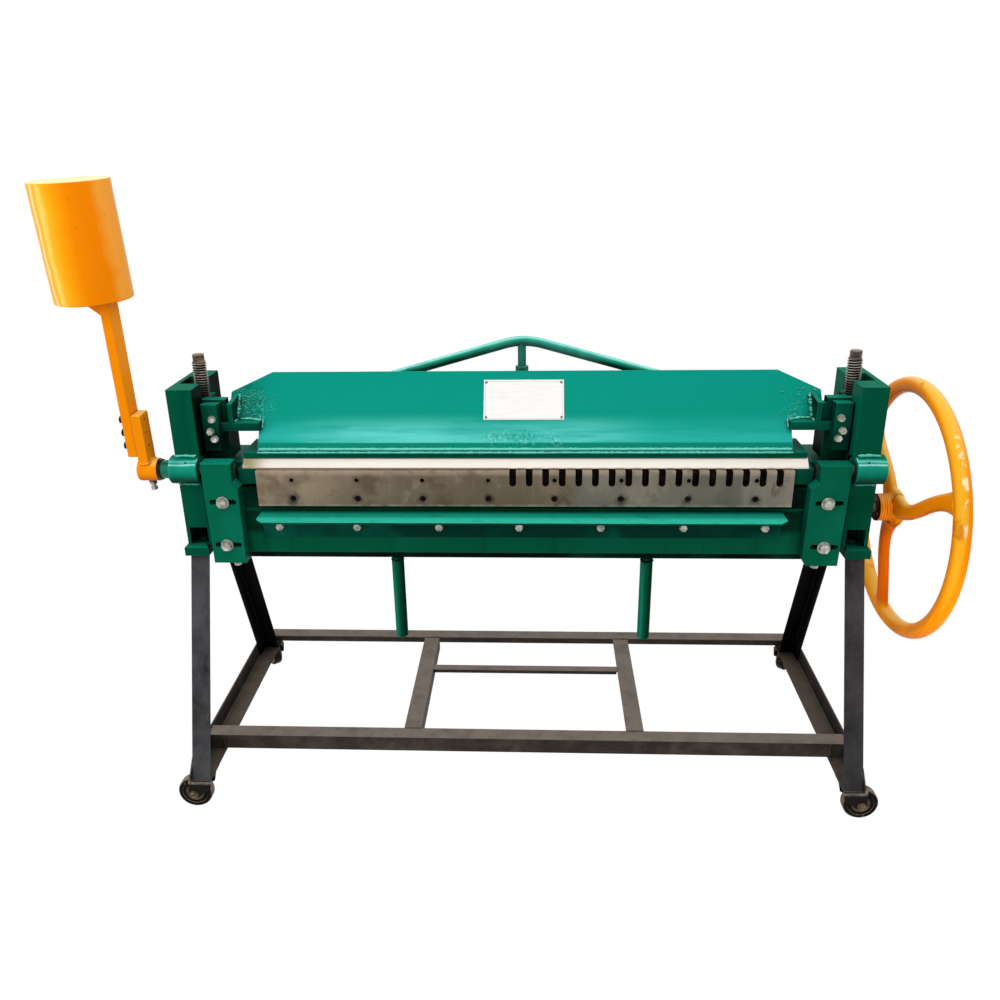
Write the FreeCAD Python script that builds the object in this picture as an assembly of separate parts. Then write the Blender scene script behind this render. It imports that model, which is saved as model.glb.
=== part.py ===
import FreeCAD, Part
import math
import os

# Manual duct flange forming machine: a hand folder with a notched bending blade, a screw-clamped
# upper beam, a counterweighted leaf and a castered angle-iron stand. Millimetres.
# Every shape is drawn about the bend line (X along it, Y to the back, Z up, bend line at Y = 0,
# Z = 0) and moved at the end so that the floor is Z = 0 and the footprint is centred on X = Y = 0.

V = FreeCAD.Vector

# Driving dimensions
HINGE_HEIGHT = 846.0          # bend line above the floor

BLADE_LENGTH = 1250.0
BLADE_DEPTH = 89.0
BLADE_THICK = 14.0
NOTCH_COUNT = 17
NOTCH_PITCH = 38.3
NOTCH_WIDTH = 16.0
NOTCH_DEPTH = 38.0
NOTCH_FIRST_X = -20.0
BLADE_HOLE_PITCH = 154.5
BLADE_HOLES = 8
BLADE_HOLE_R = 5.0

LEAF_HALF = 742.0             # leaf plate, half length
LEAF_TOP = -47.0
LEAF_BOTTOM = -234.0
LEAF_STEP = (9.0, -217.0)     # lower lip: set back by this depth, starts at this height
LEAF_THICK = 16.0
ARM_FRONT = -32.0             # hinge arms, front face
HINGE_SHAFT_R = 14.0
RUNNING_FIT = 0.05            # radial clearance of every turning shaft

COLUMN_OUT = 814.0            # columns, outer face from the middle
COLUMN_FRONT = -8.0
COLUMN_BACK = 180.0
COLUMN_TOP = 195.0
COLUMN_FOOT = -193.0
FOOT_UNDER = -218.0
POST_IN = 753.0               # inner face of the front post
REAR_POST_IN = 755.0
WALL_IN = 802.0               # inner face of the outer wall
SLOT_FRONT = 51.0             # slide channel between the posts
SLOT_BACK = 120.0

BOSS_R = 34.0                 # hinge bosses on the column fronts
BOSS_IN, BOSS_OUT = 758.5, 826.0

SCREW_X = 763.0
SCREW_Y = 88.0
SCREW_R = 17.0
THREAD_TOP = 238.0
SCREW_TOP = 257.0
CROSS_Z = -130.0              # cross shaft, below the bed
CROSS_R = 15.0
GEAR_TEETH = 16
GEAR_PITCH_R = 24.0
GEAR_FACE = 12.0

FACE_FOOT = (18.0, 36.0)      # leaning beam face, front surface, foot and top (Y, Z)
FACE_TOP = (130.0, 200.0)
FACE_THICK = 12.0
BEAM_HALF = 699.5
BAR_LOW, BAR_TOP = 83.5, 103.0       # bracket bars between the beam face and the slides
TRUSS_Y = 158.0
TRUSS_R = 12.0
TRUSS_X = 4.0                 # bend of the truss tube
TRUSS_PEAK = 274.5            # where the two limbs would cross
TRUSS_SLOPE = 0.281
TRUSS_BEND_R = 170.0
POST_R = 10.0

WHEEL_X = 926.0               # handwheel rim plane
WHEEL_R = 296.0               # rim centre line
RIM_R = 19.0

WEIGHT_R = 82.5
WEIGHT_LENGTH = 250.0
WEIGHT_LOW = 405.0
WEIGHT_X = -935.0
ARM_LEAN_FORWARD = 2.8        # degrees, counterweight arm at rest
ARM_LEAN_OUT = -0.3
WEIGHT_LEAN = 1.6             # degrees, cylinder against its arm

LEG_IRON = 45.0
RAIL_IRON = 50.0
CROSS_IRON = 40.0
MIDDLE_IRON = 25.0
CROSS_TOP = -702.0            # top of the cross rails and bars
IRON_T = 4.0
LEG_OUT = 812.0
LEG_SLOPE = 0.365             # run per unit drop
RAIL_UNDER = -748.0
RAIL_Y = (-200.0, 500.0)
CASTER_X = 792.0
CASTER_Y = (-160.0, 465.0)
CASTER_TRAIL = 30.0
REST_SWIVEL = (0.0, 50.0)     # degrees, front and rear casters, trail measured from outward
CASTER_R = 42.5


# Helpers
def box(x0, x1, y0, y1, z0, z1):
    return Part.makeBox(x1 - x0, y1 - y0, z1 - z0, V(x0, y0, z0))


def rod(radius, start, end):
    start, end = V(*start), V(*end)
    return Part.makeCylinder(radius, (end - start).Length, start, end - start)


def cone(r0, r1, start, end):
    start, end = V(*start), V(*end)
    return Part.makeCone(r0, r1, (end - start).Length, start, end - start)


def slab(points, direction):
    """Extrude a closed outline of 3-D points along a direction."""
    loop = [V(*p) for p in points]
    return Part.Face(Part.makePolygon(loop + loop[:1])).extrude(V(*direction))


def slab_yz(points, x0, x1):
    return slab([(x0, y, z) for y, z in points], (x1 - x0, 0, 0))


def slab_xz(points, y0, y1):
    return slab([(x, y0, z) for x, z in points], (0, y1 - y0, 0))


def slab_xy(points, z0, z1):
    return slab([(x, y, z0) for x, y in points], (0, 0, z1 - z0))


def hexagon(across, thick, centre, axis):
    """Hexagon head or nut standing on centre along axis."""
    n = V(*axis)
    n.normalize()
    side = V(0, 0, 1).cross(n) if abs(n.z) < 0.9 else V(1, 0, 0)
    side.normalize()
    up = n.cross(side)
    r = across / math.sqrt(3)
    loop = [V(*centre) + side * (r * math.cos(math.radians(60 * k)))
            + up * (r * math.sin(math.radians(60 * k))) for k in range(6)]
    return Part.Face(Part.makePolygon(loop + loop[:1])).extrude(n * thick)


def chamfer_where(shape, size, keep):
    edges = [e for e in shape.Edges if keep(e)]
    return shape.makeChamfer(size, edges) if edges else shape


def fillet_where(shape, radius, keep):
    edges = [e for e in shape.Edges if keep(e)]
    return shape.makeFillet(radius, edges) if edges else shape


def along(edge, axis):
    """True for a straight edge that runs parallel to the axis."""
    if len(edge.Vertexes) != 2:
        return False
    run = edge.Vertexes[1].Point - edge.Vertexes[0].Point
    return run.Length > 0 and run.cross(V(*axis)).Length < 1e-4 * run.Length


def mirror_x(shape):
    return shape.mirror(V(0, 0, 0), V(1, 0, 0))


def angle_iron(widths, corner, leg_a, leg_b, length_dir):
    """Rolled angle: corner point, the two flange directions and the length vector."""
    wide_a, wide_b = widths
    c, a, b, run = V(*corner), V(*leg_a), V(*leg_b), V(*length_dir)
    path = [(0, 0), (wide_a, 0), (wide_a, IRON_T), (IRON_T, IRON_T), (IRON_T, wide_b), (0, wide_b)]
    loop = [c + a * u + b * v for u, v in path]
    bar = Part.Face(Part.makePolygon(loop + loop[:1])).extrude(run)
    root = c + (a + b) * IRON_T + run * 0.5
    return fillet_where(bar, 4.0, lambda e: (e.CenterOfMass - root).Length < 1e-3)


def turn(shape, centre, axis, degrees):
    out = shape.copy()
    out.rotate(V(*centre), V(*axis), degrees)
    return out


parts = {}

# Column weldments: channel open to the inside, foot flange, screw shelf, window for the foot bolt
def column(right):
    c = slab_xy([(POST_IN, COLUMN_FRONT), (COLUMN_OUT, COLUMN_FRONT), (COLUMN_OUT, COLUMN_BACK),
                 (REAR_POST_IN, COLUMN_BACK), (REAR_POST_IN, SLOT_BACK), (WALL_IN, SLOT_BACK),
                 (WALL_IN, SLOT_FRONT),
                 (POST_IN, SLOT_FRONT)], COLUMN_FOOT, COLUMN_TOP)
    c = chamfer_where(c, 2.0, lambda e: along(e, (0, 0, 1)) and
                      e.CenterOfMass.y < COLUMN_FRONT + 1)
    foot = box(761, 820, -20, 235, FOOT_UNDER, COLUMN_FOOT)
    foot = chamfer_where(foot, 4.0, lambda e: abs(e.CenterOfMass.z - COLUMN_FOOT) < 0.1)
    shelf = box(741, WALL_IN, SLOT_FRONT, SLOT_BACK, -94, -70)
    c = c.fuse([foot, shelf])
    cuts = [rod(BOSS_R, (700, 0, 0), (900, 0, 0)),
            rod(12.5 + RUNNING_FIT, (SCREW_X, SCREW_Y, -100), (SCREW_X, SCREW_Y, -60)),
            fillet_where(box(761, 805.5, -20, SLOT_FRONT + 1, -193, -147), 3.0,
                         lambda e: along(e, (0, 1, 0)) and e.CenterOfMass.z > -150),
            rod(6.6, (784, 20, -230), (784, 20, -180)), rod(6.6, (784, 208, -230), (784, 208, -180))]
    bore = CROSS_R + (0.6 if right else RUNNING_FIT)
    cuts.append(rod(bore, (WALL_IN - 5, SCREW_Y, CROSS_Z), (COLUMN_OUT + 5, SCREW_Y, CROSS_Z)))
    return c.cut(cuts).removeSplitter()


parts["column_right"] = column(True)
parts["column_left"] = mirror_x(column(False))


def hinge_boss():
    b = rod(BOSS_R, (BOSS_IN, 0, 0), (BOSS_OUT, 0, 0))
    b = chamfer_where(b, 1.5, lambda e: abs(e.CenterOfMass.x - BOSS_IN) < 0.1 or
                      abs(e.CenterOfMass.x - BOSS_OUT) < 0.1)
    bore = rod(HINGE_SHAFT_R + RUNNING_FIT, (740, 0, 0), (830, 0, 0))
    oil_hole = rod(2.5, (784, 0, 0), (784, -40, 40))
    return b.cut(bore.fuse(oil_hole))


parts["hinge_boss_right"] = hinge_boss()
parts["hinge_boss_left"] = mirror_x(hinge_boss())

# Foot bolts through the column flanges, one behind each window and one at the back
bolts = []
for x in (-784.0, 784.0):
    for y in (20.0, 208.0):
        bolts.append(hexagon(19, 5, (x, y, COLUMN_FOOT), (0, 0, 1)).fuse(
            [rod(6, (x, y, COLUMN_FOOT + 7), (x, y, FOOT_UNDER - 14)),
             hexagon(19, 10, (x, y, FOOT_UNDER), (0, 0, -1))]))
parts["foot_bolts"] = Part.makeCompound([b.removeSplitter() for b in bolts])

# Stand: side rails with caster plates, sloping legs on them, cross rails between them
def side_rail():
    x_out = LEG_OUT + IRON_T
    r = angle_iron((RAIL_IRON, RAIL_IRON), (x_out, RAIL_Y[0], RAIL_UNDER), (-1, 0, 0), (0, 0, 1),
                   (0, RAIL_Y[1] - RAIL_Y[0], 0))
    # the front end of the upright flange is cut back at a slope
    r = r.cut(slab_yz([(RAIL_Y[0] - 1, RAIL_UNDER + 18), (RAIL_Y[0] + 30, RAIL_UNDER + RAIL_IRON + 1),
                       (RAIL_Y[0] - 1, RAIL_UNDER + RAIL_IRON + 1)], x_out - 10, x_out + 1))
    extra = []
    for y in CASTER_Y:
        plate = box(CASTER_X - 25, CASTER_X + 25, y - 30, y + 30, RAIL_UNDER - 3, RAIL_UNDER)
        race = rod(19, (CASTER_X, y, RAIL_UNDER - 8), (CASTER_X, y, RAIL_UNDER - 3))
        extra += [plate, race]
    r = r.fuse(extra)
    for y in CASTER_Y:
        r = r.cut(rod(6 + RUNNING_FIT, (CASTER_X, y, RAIL_UNDER - 20), (CASTER_X, y, RAIL_UNDER + 20)))
    return r.removeSplitter()


parts["side_rail_right"] = side_rail()
parts["side_rail_left"] = mirror_x(side_rail())


def leg(front):
    s = 1.0 if front else -1.0
    fall = V(0, -s * LEG_SLOPE, -1)
    fall.normalize()
    inward = V(0, s * 1.0, -LEG_SLOPE)
    inward.normalize()
    y_top = -4.0 if front else 227.0
    start = V(LEG_OUT, y_top, FOOT_UNDER) - fall * 60
    bar = angle_iron((LEG_IRON, LEG_IRON), start, (-1, 0, 0), inward, fall * 720)
    bar = bar.common(box(700, 900, -400, 600, RAIL_UNDER + IRON_T, FOOT_UNDER))
    bar = bar.cut(parts["side_rail_right"])
    if not front:
        bar = bar.cut(rod(11.2, (784, 208, FOOT_UNDER - 30), (784, 208, FOOT_UNDER)))
    return max(bar.Solids, key=lambda q: q.Volume)


for name, front in (("front", True), ("rear", False)):
    parts["leg_%s_right" % name] = leg(front)
    parts["leg_%s_left" % name] = mirror_x(leg(front))

rail_half = LEG_OUT - 0.5
front_y, rear_y = -75.0, 453.0
cross_pair = (CROSS_IRON, CROSS_IRON)
front_rail = angle_iron(cross_pair, (-rail_half, front_y, CROSS_TOP), (0, 0, -1), (0, 1, 0),
                        (2 * rail_half, 0, 0))
rear_rail = angle_iron(cross_pair, (-rail_half, rear_y, CROSS_TOP), (0, 0, -1), (0, -1, 0),
                       (2 * rail_half, 0, 0))
in_the_way = [parts[end + hand] for end in ("leg_front_", "leg_rear_", "side_rail_")
              for hand in ("left", "right")]
for name, solid in (("rail_front", front_rail), ("rail_rear", rear_rail)):
    parts[name] = max(solid.cut(in_the_way).Solids, key=lambda q: q.Volume)
bar_left, bar_right = -262.0, 310.0
for name, x in (("left", bar_left), ("right", bar_right)):
    parts["cross_bar_" + name] = angle_iron(
        (CROSS_IRON, LEG_IRON), (x, front_y + CROSS_IRON, CROSS_TOP), (0, 0, -1), (-1, 0, 0),
        (0, rear_y - front_y - 2 * CROSS_IRON, 0))
parts["middle_bar"] = angle_iron((MIDDLE_IRON, MIDDLE_IRON), (bar_left, 262, CROSS_TOP), (0, 0, -1),
                                 (0, -1, 0), (bar_right - LEG_IRON - bar_left, 0, 0))

# Lower jaw: nose plate, box under it, lugs that carry the cross shaft
nose = slab_xy([(-672, 1.5), (672, 1.5), (672, 50), (738, 50), (738, COLUMN_BACK), (-738, COLUMN_BACK),
                (-738, 50), (-672, 50)], -38, 0)
nose = chamfer_where(nose, 1.0, lambda e: abs(e.CenterOfMass.y - 1.5) < 0.1 and
                     abs(e.CenterOfMass.z) < 0.1 and along(e, (1, 0, 0)))
bed = nose.fuse([box(-738, 738, 50, 62, -100, -38), box(-738, 738, 168, 180, -100, -38),
                 box(-700, 700, 50, 180, -108, -98),
                 box(-REAR_POST_IN, -730, 122, COLUMN_BACK, -100, 0),
                 box(730, REAR_POST_IN, 122, COLUMN_BACK, -100, 0)]
                + [slab_yz([(60, -108), (116, -108), (116, -134), (104, -152), (72, -152),
                            (60, -134)], x, x + 14) for x in (-507.0, 493.0)])
bed = bed.cut(rod(CROSS_R + RUNNING_FIT, (-520, SCREW_Y, CROSS_Z), (520, SCREW_Y, CROSS_Z)))
parts["bed"] = bed.removeSplitter()

flange = rod(31, (COLUMN_OUT, SCREW_Y, CROSS_Z), (COLUMN_OUT + 10, SCREW_Y, CROSS_Z)).fuse(
    rod(23, (COLUMN_OUT, SCREW_Y, CROSS_Z), (COLUMN_OUT + 30, SCREW_Y, CROSS_Z)))
parts["shaft_bearing"] = flange.cut(
    rod(CROSS_R + RUNNING_FIT, (COLUMN_OUT - 2, SCREW_Y, CROSS_Z), (COLUMN_OUT + 40, SCREW_Y, CROSS_Z))
).removeSplitter()

# Upper beam: leaning face, base, back and ribs
lean = (FACE_TOP[0] - FACE_FOOT[0], FACE_TOP[1] - FACE_FOOT[1])
slant = math.hypot(*lean)
face_up = V(0, lean[0] / slant, lean[1] / slant)
face_out = V(0, lean[1] / slant, -lean[0] / slant)       # from the front surface to the back


def face_point(x, z, depth=0.0):
    s = (z - FACE_FOOT[1]) / face_up.z
    p = V(x, FACE_FOOT[0], FACE_FOOT[1]) + face_up * s + face_out * depth
    return (p.x, p.y, p.z)


half_face = [(625, 36), (625, BAR_TOP), (684, BAR_TOP), (699, 140), (699, 161), (602, 202)]
outline = half_face + [(-x, z) for x, z in reversed(half_face)]
face = slab([face_point(x, z) for x, z in outline], tuple(face_out * FACE_THICK))
face = face.cut(box(-800, 800, -50, 200, 0, 36))
lug = slab_yz([(126, 184), (174, 184), (174, 194), (134, 194)], -14, 14)
lug = lug.cut(slab([face_point(x, z, -40) for x, z in ((-30, 150), (30, 150), (30, 230), (-30, 230))],
                   tuple(face_out * (40 + FACE_THICK))))
face = face.fuse(lug).cut(rod(POST_R + 0.3, (0, TRUSS_Y, 170), (0, TRUSS_Y, 210)))
parts["beam_face"] = face.removeSplitter()

# Truss: bent tube from end to end with a middle post and its nuts, held by a lug at each end
bend_half = math.atan(TRUSS_SLOPE)
bend_centre = V(TRUSS_X, TRUSS_Y, TRUSS_PEAK - TRUSS_BEND_R / math.cos(bend_half))


def truss_limb(sx, end_x, radius=TRUSS_R):
    """Straight part of the tube, from the bend out to a given X."""
    tangent = bend_centre + V(sx * math.sin(bend_half), 0, math.cos(bend_half)) * TRUSS_BEND_R
    low = TRUSS_PEAK - TRUSS_SLOPE * abs(end_x - TRUSS_X)
    return rod(radius, tuple(tangent), (end_x, TRUSS_Y, low))


def truss_bend():
    start = bend_centre + V(-math.sin(bend_half), 0, math.cos(bend_half)) * TRUSS_BEND_R
    ring = Part.Wire([Part.Circle(start, V(math.cos(bend_half), 0, math.sin(bend_half)),
                                  TRUSS_R).toShape()])
    return Part.Face(ring).revolve(bend_centre, V(0, 1, 0), 2 * math.degrees(bend_half))


back_y = 107.0
base = box(-658, 658, 16, back_y + 12, 22, 36)
base = chamfer_where(base, 1.5, lambda e: abs(e.CenterOfMass.y - 16) < 0.1 and
                     abs(e.CenterOfMass.z - 36) < 0.1)
back_top = 142.0
back_outline = [(-620, 36), (620, 36), (620, 62), (BEAM_HALF, 62), (BEAM_HALF, back_top),
                (-BEAM_HALF, back_top), (-BEAM_HALF, 62), (-620, 62)]
pieces = [base, slab_xz(back_outline, back_y, back_y + 12)]
for k in range(5):
    x = -460.0 + 230.0 * k
    rib = [(y, z) for _, y, z in (face_point(0, 36.5, FACE_THICK), face_point(0, 138, FACE_THICK))]
    pieces.append(slab_yz([(rib[0][0], 36), rib[0], rib[1], (back_y, rib[1][1]), (back_y, 36)],
                          x - 5, x + 5))
for sx in (-1, 1):
    outer_end = sx * (BEAM_HALF - 11)
    end_lug = box(outer_end - 11, outer_end + 11, back_y + 12, 176, 64, 100)
    pieces.append(end_lug.cut(truss_limb(sx, sx * (BEAM_HALF + 30), TRUSS_R + 0.05)))
parts["beam_base"] = pieces[0].fuse(pieces[1:]).removeSplitter()

strip = slab_yz([(1.5, 0.5), (1.5, 3.5), (20, 22), (64, 22), (64, 0.5)], -660, 660)
parts["clamp_strip"] = strip

parts["truss"] = truss_bend().fuse(
    [truss_limb(1, BEAM_HALF), truss_limb(-1, -BEAM_HALF),
     rod(POST_R, (0, TRUSS_Y, 150), (0, TRUSS_Y, bend_centre.z + TRUSS_BEND_R - 2)),
     hexagon(27, 14, (0, TRUSS_Y, 194), (0, 0, 1)), hexagon(27, 12, (0, TRUSS_Y, 184), (0, 0, -1))])

# Bare name plate with a rivet in each corner
plate_thick = 1.2
corners = [(-90, 101), (100, 101), (100, 183), (-90, 183)]
plate = slab([face_point(x, z) for x, z in corners], tuple(face_out * -plate_thick))
rivets = []
for x, z in ((-84, 106), (94, 106), (94, 178), (-84, 178)):
    at, out = V(*face_point(x, z, -plate_thick)), face_out * -1.0
    rivets.append(Part.makeCone(3.0, 1.6, 1.4, at, out))
parts["name_plate"] = plate.fuse(rivets).removeSplitter()


# Slides: block in the column channel, tongue and bracket that reach to the beam
COVER_IN, COVER_OUT = 709.5, 749.5
COVER_LOW, COVER_TOP = 38.0, 152.0
COVER_FRONT = 20.0


def slide(web_out):
    y0, y1 = SLOT_FRONT + 0.4, SLOT_BACK - 0.4
    block = box(745, WALL_IN - 0.4, y0, y1, -45, 155)
    arm = box(700, 745, y0, y1, 8, 120).fuse(box(700, 745, y0, 78, 120, 155))
    tongue = box(COVER_IN, COVER_OUT, 36, y0, COVER_LOW, COVER_TOP - 2)
    bar = box(618, COVER_IN, 34, 74, BAR_LOW, BAR_TOP)
    web = slab_yz([(34, BAR_TOP), face_point(0, BAR_TOP)[1:], face_point(0, 158)[1:], (34, 149)],
                  web_out - 10.5, web_out)
    link = box(web_out - 1, 702, 52, 74, BAR_LOW + 5, 143)
    s = block.fuse([arm, tongue, bar, web, link])
    s = s.cut([slab([face_point(x, z) for x, z in outline], tuple(face_out * (FACE_THICK + 40))),
               box(610, 625, 34, 80, 30, BAR_TOP + 10).common(slab_yz(
                   [face_point(0, 30)[1:], face_point(0, 130)[1:], (120, 130), (120, 30)], 600, 640)),
               rod(SCREW_R + 0.1, (SCREW_X, SCREW_Y, -60), (SCREW_X, SCREW_Y, 180))])
    return max(s.removeSplitter().Solids, key=lambda q: q.Volume)


parts["slide_right"] = slide(684)
parts["slide_left"] = mirror_x(slide(689.5))


def cover():
    c = box(COVER_IN, COVER_OUT, COVER_FRONT, 36, COVER_LOW, COVER_TOP)
    return chamfer_where(c, 1.5, lambda e: abs(e.CenterOfMass.y - COVER_FRONT) < 0.1)


parts["slide_cover_right"] = cover()
parts["slide_cover_left"] = mirror_x(cover())
heads = []
for sx in (-1, 1):
    for x, z in ((724, 117), (731, 87), (723, 69)):
        heads.append(hexagon(14, 7, (sx * x, COVER_FRONT - 1.5, z), (0, -1, 0)).fuse(
            rod(9, (sx * x, COVER_FRONT, z), (sx * x, COVER_FRONT - 1.5, z))).removeSplitter())
parts["cover_bolts"] = Part.makeCompound(heads)


# Mitre gear: conical blank, teeth cut by spaces that shrink towards the cone's tip.
# The axis is +Z through the tip, with the large end at Z = GEAR_PITCH_R.
def mitre_gear(bore):
    back = GEAR_PITCH_R
    inner = back - GEAR_FACE * math.cos(math.radians(45))
    blank = Part.makeCone(inner + 1.4, back + 1.9, back - inner, V(0, 0, inner))
    hub = Part.makeCylinder(15.5, 9.0, V(0, 0, back - 0.5))
    blank = blank.fuse(hub)
    spaces = []
    step = 360.0 / GEAR_TEETH
    for k in range(GEAR_TEETH):
        wires = []
        for z in (inner - 1.0, back + 1.0):
            r_out, r_root = z * 1.14, z * 0.86
            w_out, w_root = math.radians(step * 0.33), math.radians(step * 0.17)
            loop = [V(r_root * math.cos(-w_root), r_root * math.sin(-w_root), z),
                    V(r_out * math.cos(-w_out), r_out * math.sin(-w_out), z),
                    V(r_out * math.cos(w_out), r_out * math.sin(w_out), z),
                    V(r_root * math.cos(w_root), r_root * math.sin(w_root), z)]
            wires.append(Part.makePolygon(loop + loop[:1]))
        cutter = Part.makeLoft(wires, True, True)
        cutter.rotate(V(0, 0, 0), V(0, 0, 1), step * k)
        spaces.append(cutter)
    return blank.cut(spaces + [Part.makeCylinder(bore, 60, V(0, 0, -5))]).removeSplitter()


def lead_screw():
    x, y = SCREW_X, SCREW_Y
    s = rod(SCREW_R, (x, y, -58), (x, y, THREAD_TOP))
    s = chamfer_where(s, 2.0, lambda e: abs(e.CenterOfMass.z - THREAD_TOP) < 0.1)
    end = rod(14.0, (x, y, THREAD_TOP), (x, y, SCREW_TOP))
    end = chamfer_where(end, 1.5, lambda e: abs(e.CenterOfMass.z - SCREW_TOP) < 0.1)
    collar = rod(22, (x, y, -69.9), (x, y, -58))
    journal = rod(12.5, (x, y, CROSS_Z + 16), (x, y, -69.9))
    gear = mitre_gear(12.5)
    gear.rotate(V(0, 0, 0), V(0, 0, 1), 180.0 / GEAR_TEETH)
    gear.translate(V(x, y, CROSS_Z))
    return s.fuse([end, collar, journal, gear]).removeSplitter()


parts["lead_screw_right"] = lead_screw()
parts["lead_screw_left"] = mirror_x(lead_screw())

shaft = rod(CROSS_R, (-811, SCREW_Y, CROSS_Z), (916, SCREW_Y, CROSS_Z))
shaft = chamfer_where(shaft, 1.5, lambda e: abs(e.CenterOfMass.x + 811) < 0.1 or
                      abs(e.CenterOfMass.x - 916) < 0.1)
parts["cross_shaft"] = shaft


def shaft_gear():
    g = mitre_gear(CROSS_R)
    g.rotate(V(0, 0, 0), V(0, 1, 0), -90)
    g.translate(V(SCREW_X, SCREW_Y, CROSS_Z))
    return g


parts["shaft_gear_right"] = shaft_gear()
parts["shaft_gear_left"] = mirror_x(shaft_gear())


# Handwheel: round rim, dished hub with a grooved collar and three wavy spokes
SPOKE_ANGLES = (38.4, 158.4, 278.4)
# distance from the hub centre, sideways swing, place along the shaft
SPOKE_WAVE = [(30, -5, 900), (40, -2.5, 900.2), (80, 11.2, 901.5), (125, 7.8, 903.7), (175, -6.2, 907.4),
              (230, -13.8, 913.7), (290, -11.1, 921.5)]
# share of the length, half width across the wheel, half depth along the shaft
SPOKE_OVALS = ((0.0, 28, 16), (0.18, 20.5, 13.5), (0.45, 17.5, 12.5), (0.75, 18.5, 12.5),
               (0.9, 24, 13.5), (1.0, 35, 15.5))


def handwheel():
    y, z = SCREW_Y, CROSS_Z
    axis = V(1, 0, 0)
    rim = Part.makeTorus(WHEEL_R, RIM_R, V(WHEEL_X, y, z), axis)
    profile = [(856, 0), (856, 33), (889, 33.5), (893, 40), (899, 46), (908, 46), (915, 38), (918, 26),
               (918, 0)]
    hub = Part.Face(Part.makePolygon([V(x, y, z + r) for x, r in profile + profile[:1]]))
    hub = hub.revolve(V(0, y, z), axis, 360)
    for x in (862.0, 868.0, 874.0, 880.0, 886.0):
        hub = hub.cut(Part.makeTorus(34.4, 1.7, V(x, y, z), axis))
    spokes = []
    for base_angle in SPOKE_ANGLES:
        a = math.radians(base_angle)
        radial = V(0, math.cos(a), math.sin(a))
        across = V(0, -math.sin(a), math.cos(a))
        curve = Part.BSplineCurve()
        curve.interpolate([V(x, y, z) + radial * r + across * t for r, t, x in SPOKE_WAVE])
        sections = []
        for u, wide, deep in SPOKE_OVALS:
            t = curve.FirstParameter + (curve.LastParameter - curve.FirstParameter) * u
            at = curve.value(t)
            tan = curve.tangent(t)[0]
            side = tan.cross(axis)
            side.normalize()
            oval = Part.Ellipse(at + side * wide, at + (side.cross(tan)) * deep, at)
            sections.append(Part.Wire([oval.toShape()]))
        spokes.append(Part.makeLoft(sections, True, False))
    wheel = rim.fuse([hub] + spokes)
    return wheel.cut(rod(CROSS_R, (850, y, z), (950, y, z))).removeSplitter()


parts["handwheel"] = handwheel()

# Leaf: plate, notched blade, stiffening angle, hinge arms and shafts, handles
plate = box(-LEAF_HALF, LEAF_HALF, 0, LEAF_THICK, LEAF_BOTTOM, LEAF_TOP)
plate = plate.cut(box(-LEAF_HALF - 1, LEAF_HALF + 1, -1, LEAF_STEP[0], LEAF_BOTTOM - 1, LEAF_STEP[1]))
plate = chamfer_where(plate, 2.0, lambda e: along(e, (1, 0, 0)))
arm_slot_z = (-72.0, -182.5)
arm_bolt_at = [(x, z) for pair in ((-705.0, -707.5), (701.0, 703.5)) for x, z in zip(pair, arm_slot_z)]
plate = plate.cut([rod(6.4, (x, -5, z), (x, 14, z)) for x, z in arm_bolt_at])
parts["leaf_plate"] = plate

blade_half = BLADE_LENGTH / 2
blade = box(-blade_half, blade_half, -BLADE_THICK, 0, -BLADE_DEPTH, 0)
blade = chamfer_where(blade, 0.8, lambda e: along(e, (1, 0, 0)) and
                      e.CenterOfMass.y < -BLADE_THICK + 0.1)
cuts = []
for k in range(NOTCH_COUNT):
    x = NOTCH_FIRST_X + k * NOTCH_PITCH
    r = NOTCH_WIDTH / 2
    slot = box(x - r, x + r, -BLADE_THICK - 1, 1, -NOTCH_DEPTH + r, 1)
    cuts.append(slot.fuse(rod(r, (x, -BLADE_THICK - 1, -NOTCH_DEPTH + r), (x, 1, -NOTCH_DEPTH + r))))
hole_x = [BLADE_HOLE_PITCH * (k - (BLADE_HOLES - 1) / 2) for k in range(BLADE_HOLES)]
for x in hole_x:
    cuts.append(rod(BLADE_HOLE_R, (x, -BLADE_THICK - 1, -23), (x, 1, -23)))
    cuts.append(rod(5.3, (x, -BLADE_THICK - 1, -69), (x, 1, -69)))
    cuts.append(cone(7.4, 5.3, (x, -BLADE_THICK, -69), (x, -BLADE_THICK + 4, -69)))
parts["blade"] = blade.cut(cuts)
screws = []
for x in hole_x:
    s = cone(6.6, 5.0, (x, -BLADE_THICK + 0.8, -69), (x, -BLADE_THICK + 4, -69))
    s = s.fuse(rod(5.0, (x, -BLADE_THICK + 4, -69), (x, 0, -69)))
    screws.append(s.cut(hexagon(6, 3, (x, -BLADE_THICK + 0.8, -69), (0, 1, 0))).removeSplitter())
parts["blade_screws"] = Part.makeCompound(screws)

iron = slab_yz([(0, -106), (-70, -106), (-70, -112), (-6, -112), (-6, -172), (0, -172)], -624, 610)
iron = iron.cut([slab_xy([(x + s, -71), (x - s * 19, -71), (x + s, -51)], -113, -105)
                 for x, s in ((-624, -1), (610, 1))])
iron = fillet_where(iron, 9.0, lambda e: along(e, (0, 0, 1)) and e.CenterOfMass.y < -40)
iron = fillet_where(iron, 5.0, lambda e: along(e, (1, 0, 0)) and
                    abs(e.CenterOfMass.y + 6) < 0.1 and abs(e.CenterOfMass.z + 112) < 0.1)
parts["leaf_angle"] = iron
parts["leaf_angle_bolts"] = Part.makeCompound(
    [hexagon(16, 7, (x, -7.5, -144), (0, -1, 0)).fuse(
        rod(9.5, (x, -6, -144), (x, -7.5, -144))).removeSplitter()
     for x in (-582.0, -394.0, -197.0, -6.0, 187.0, 381.0, 571.0)])


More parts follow.
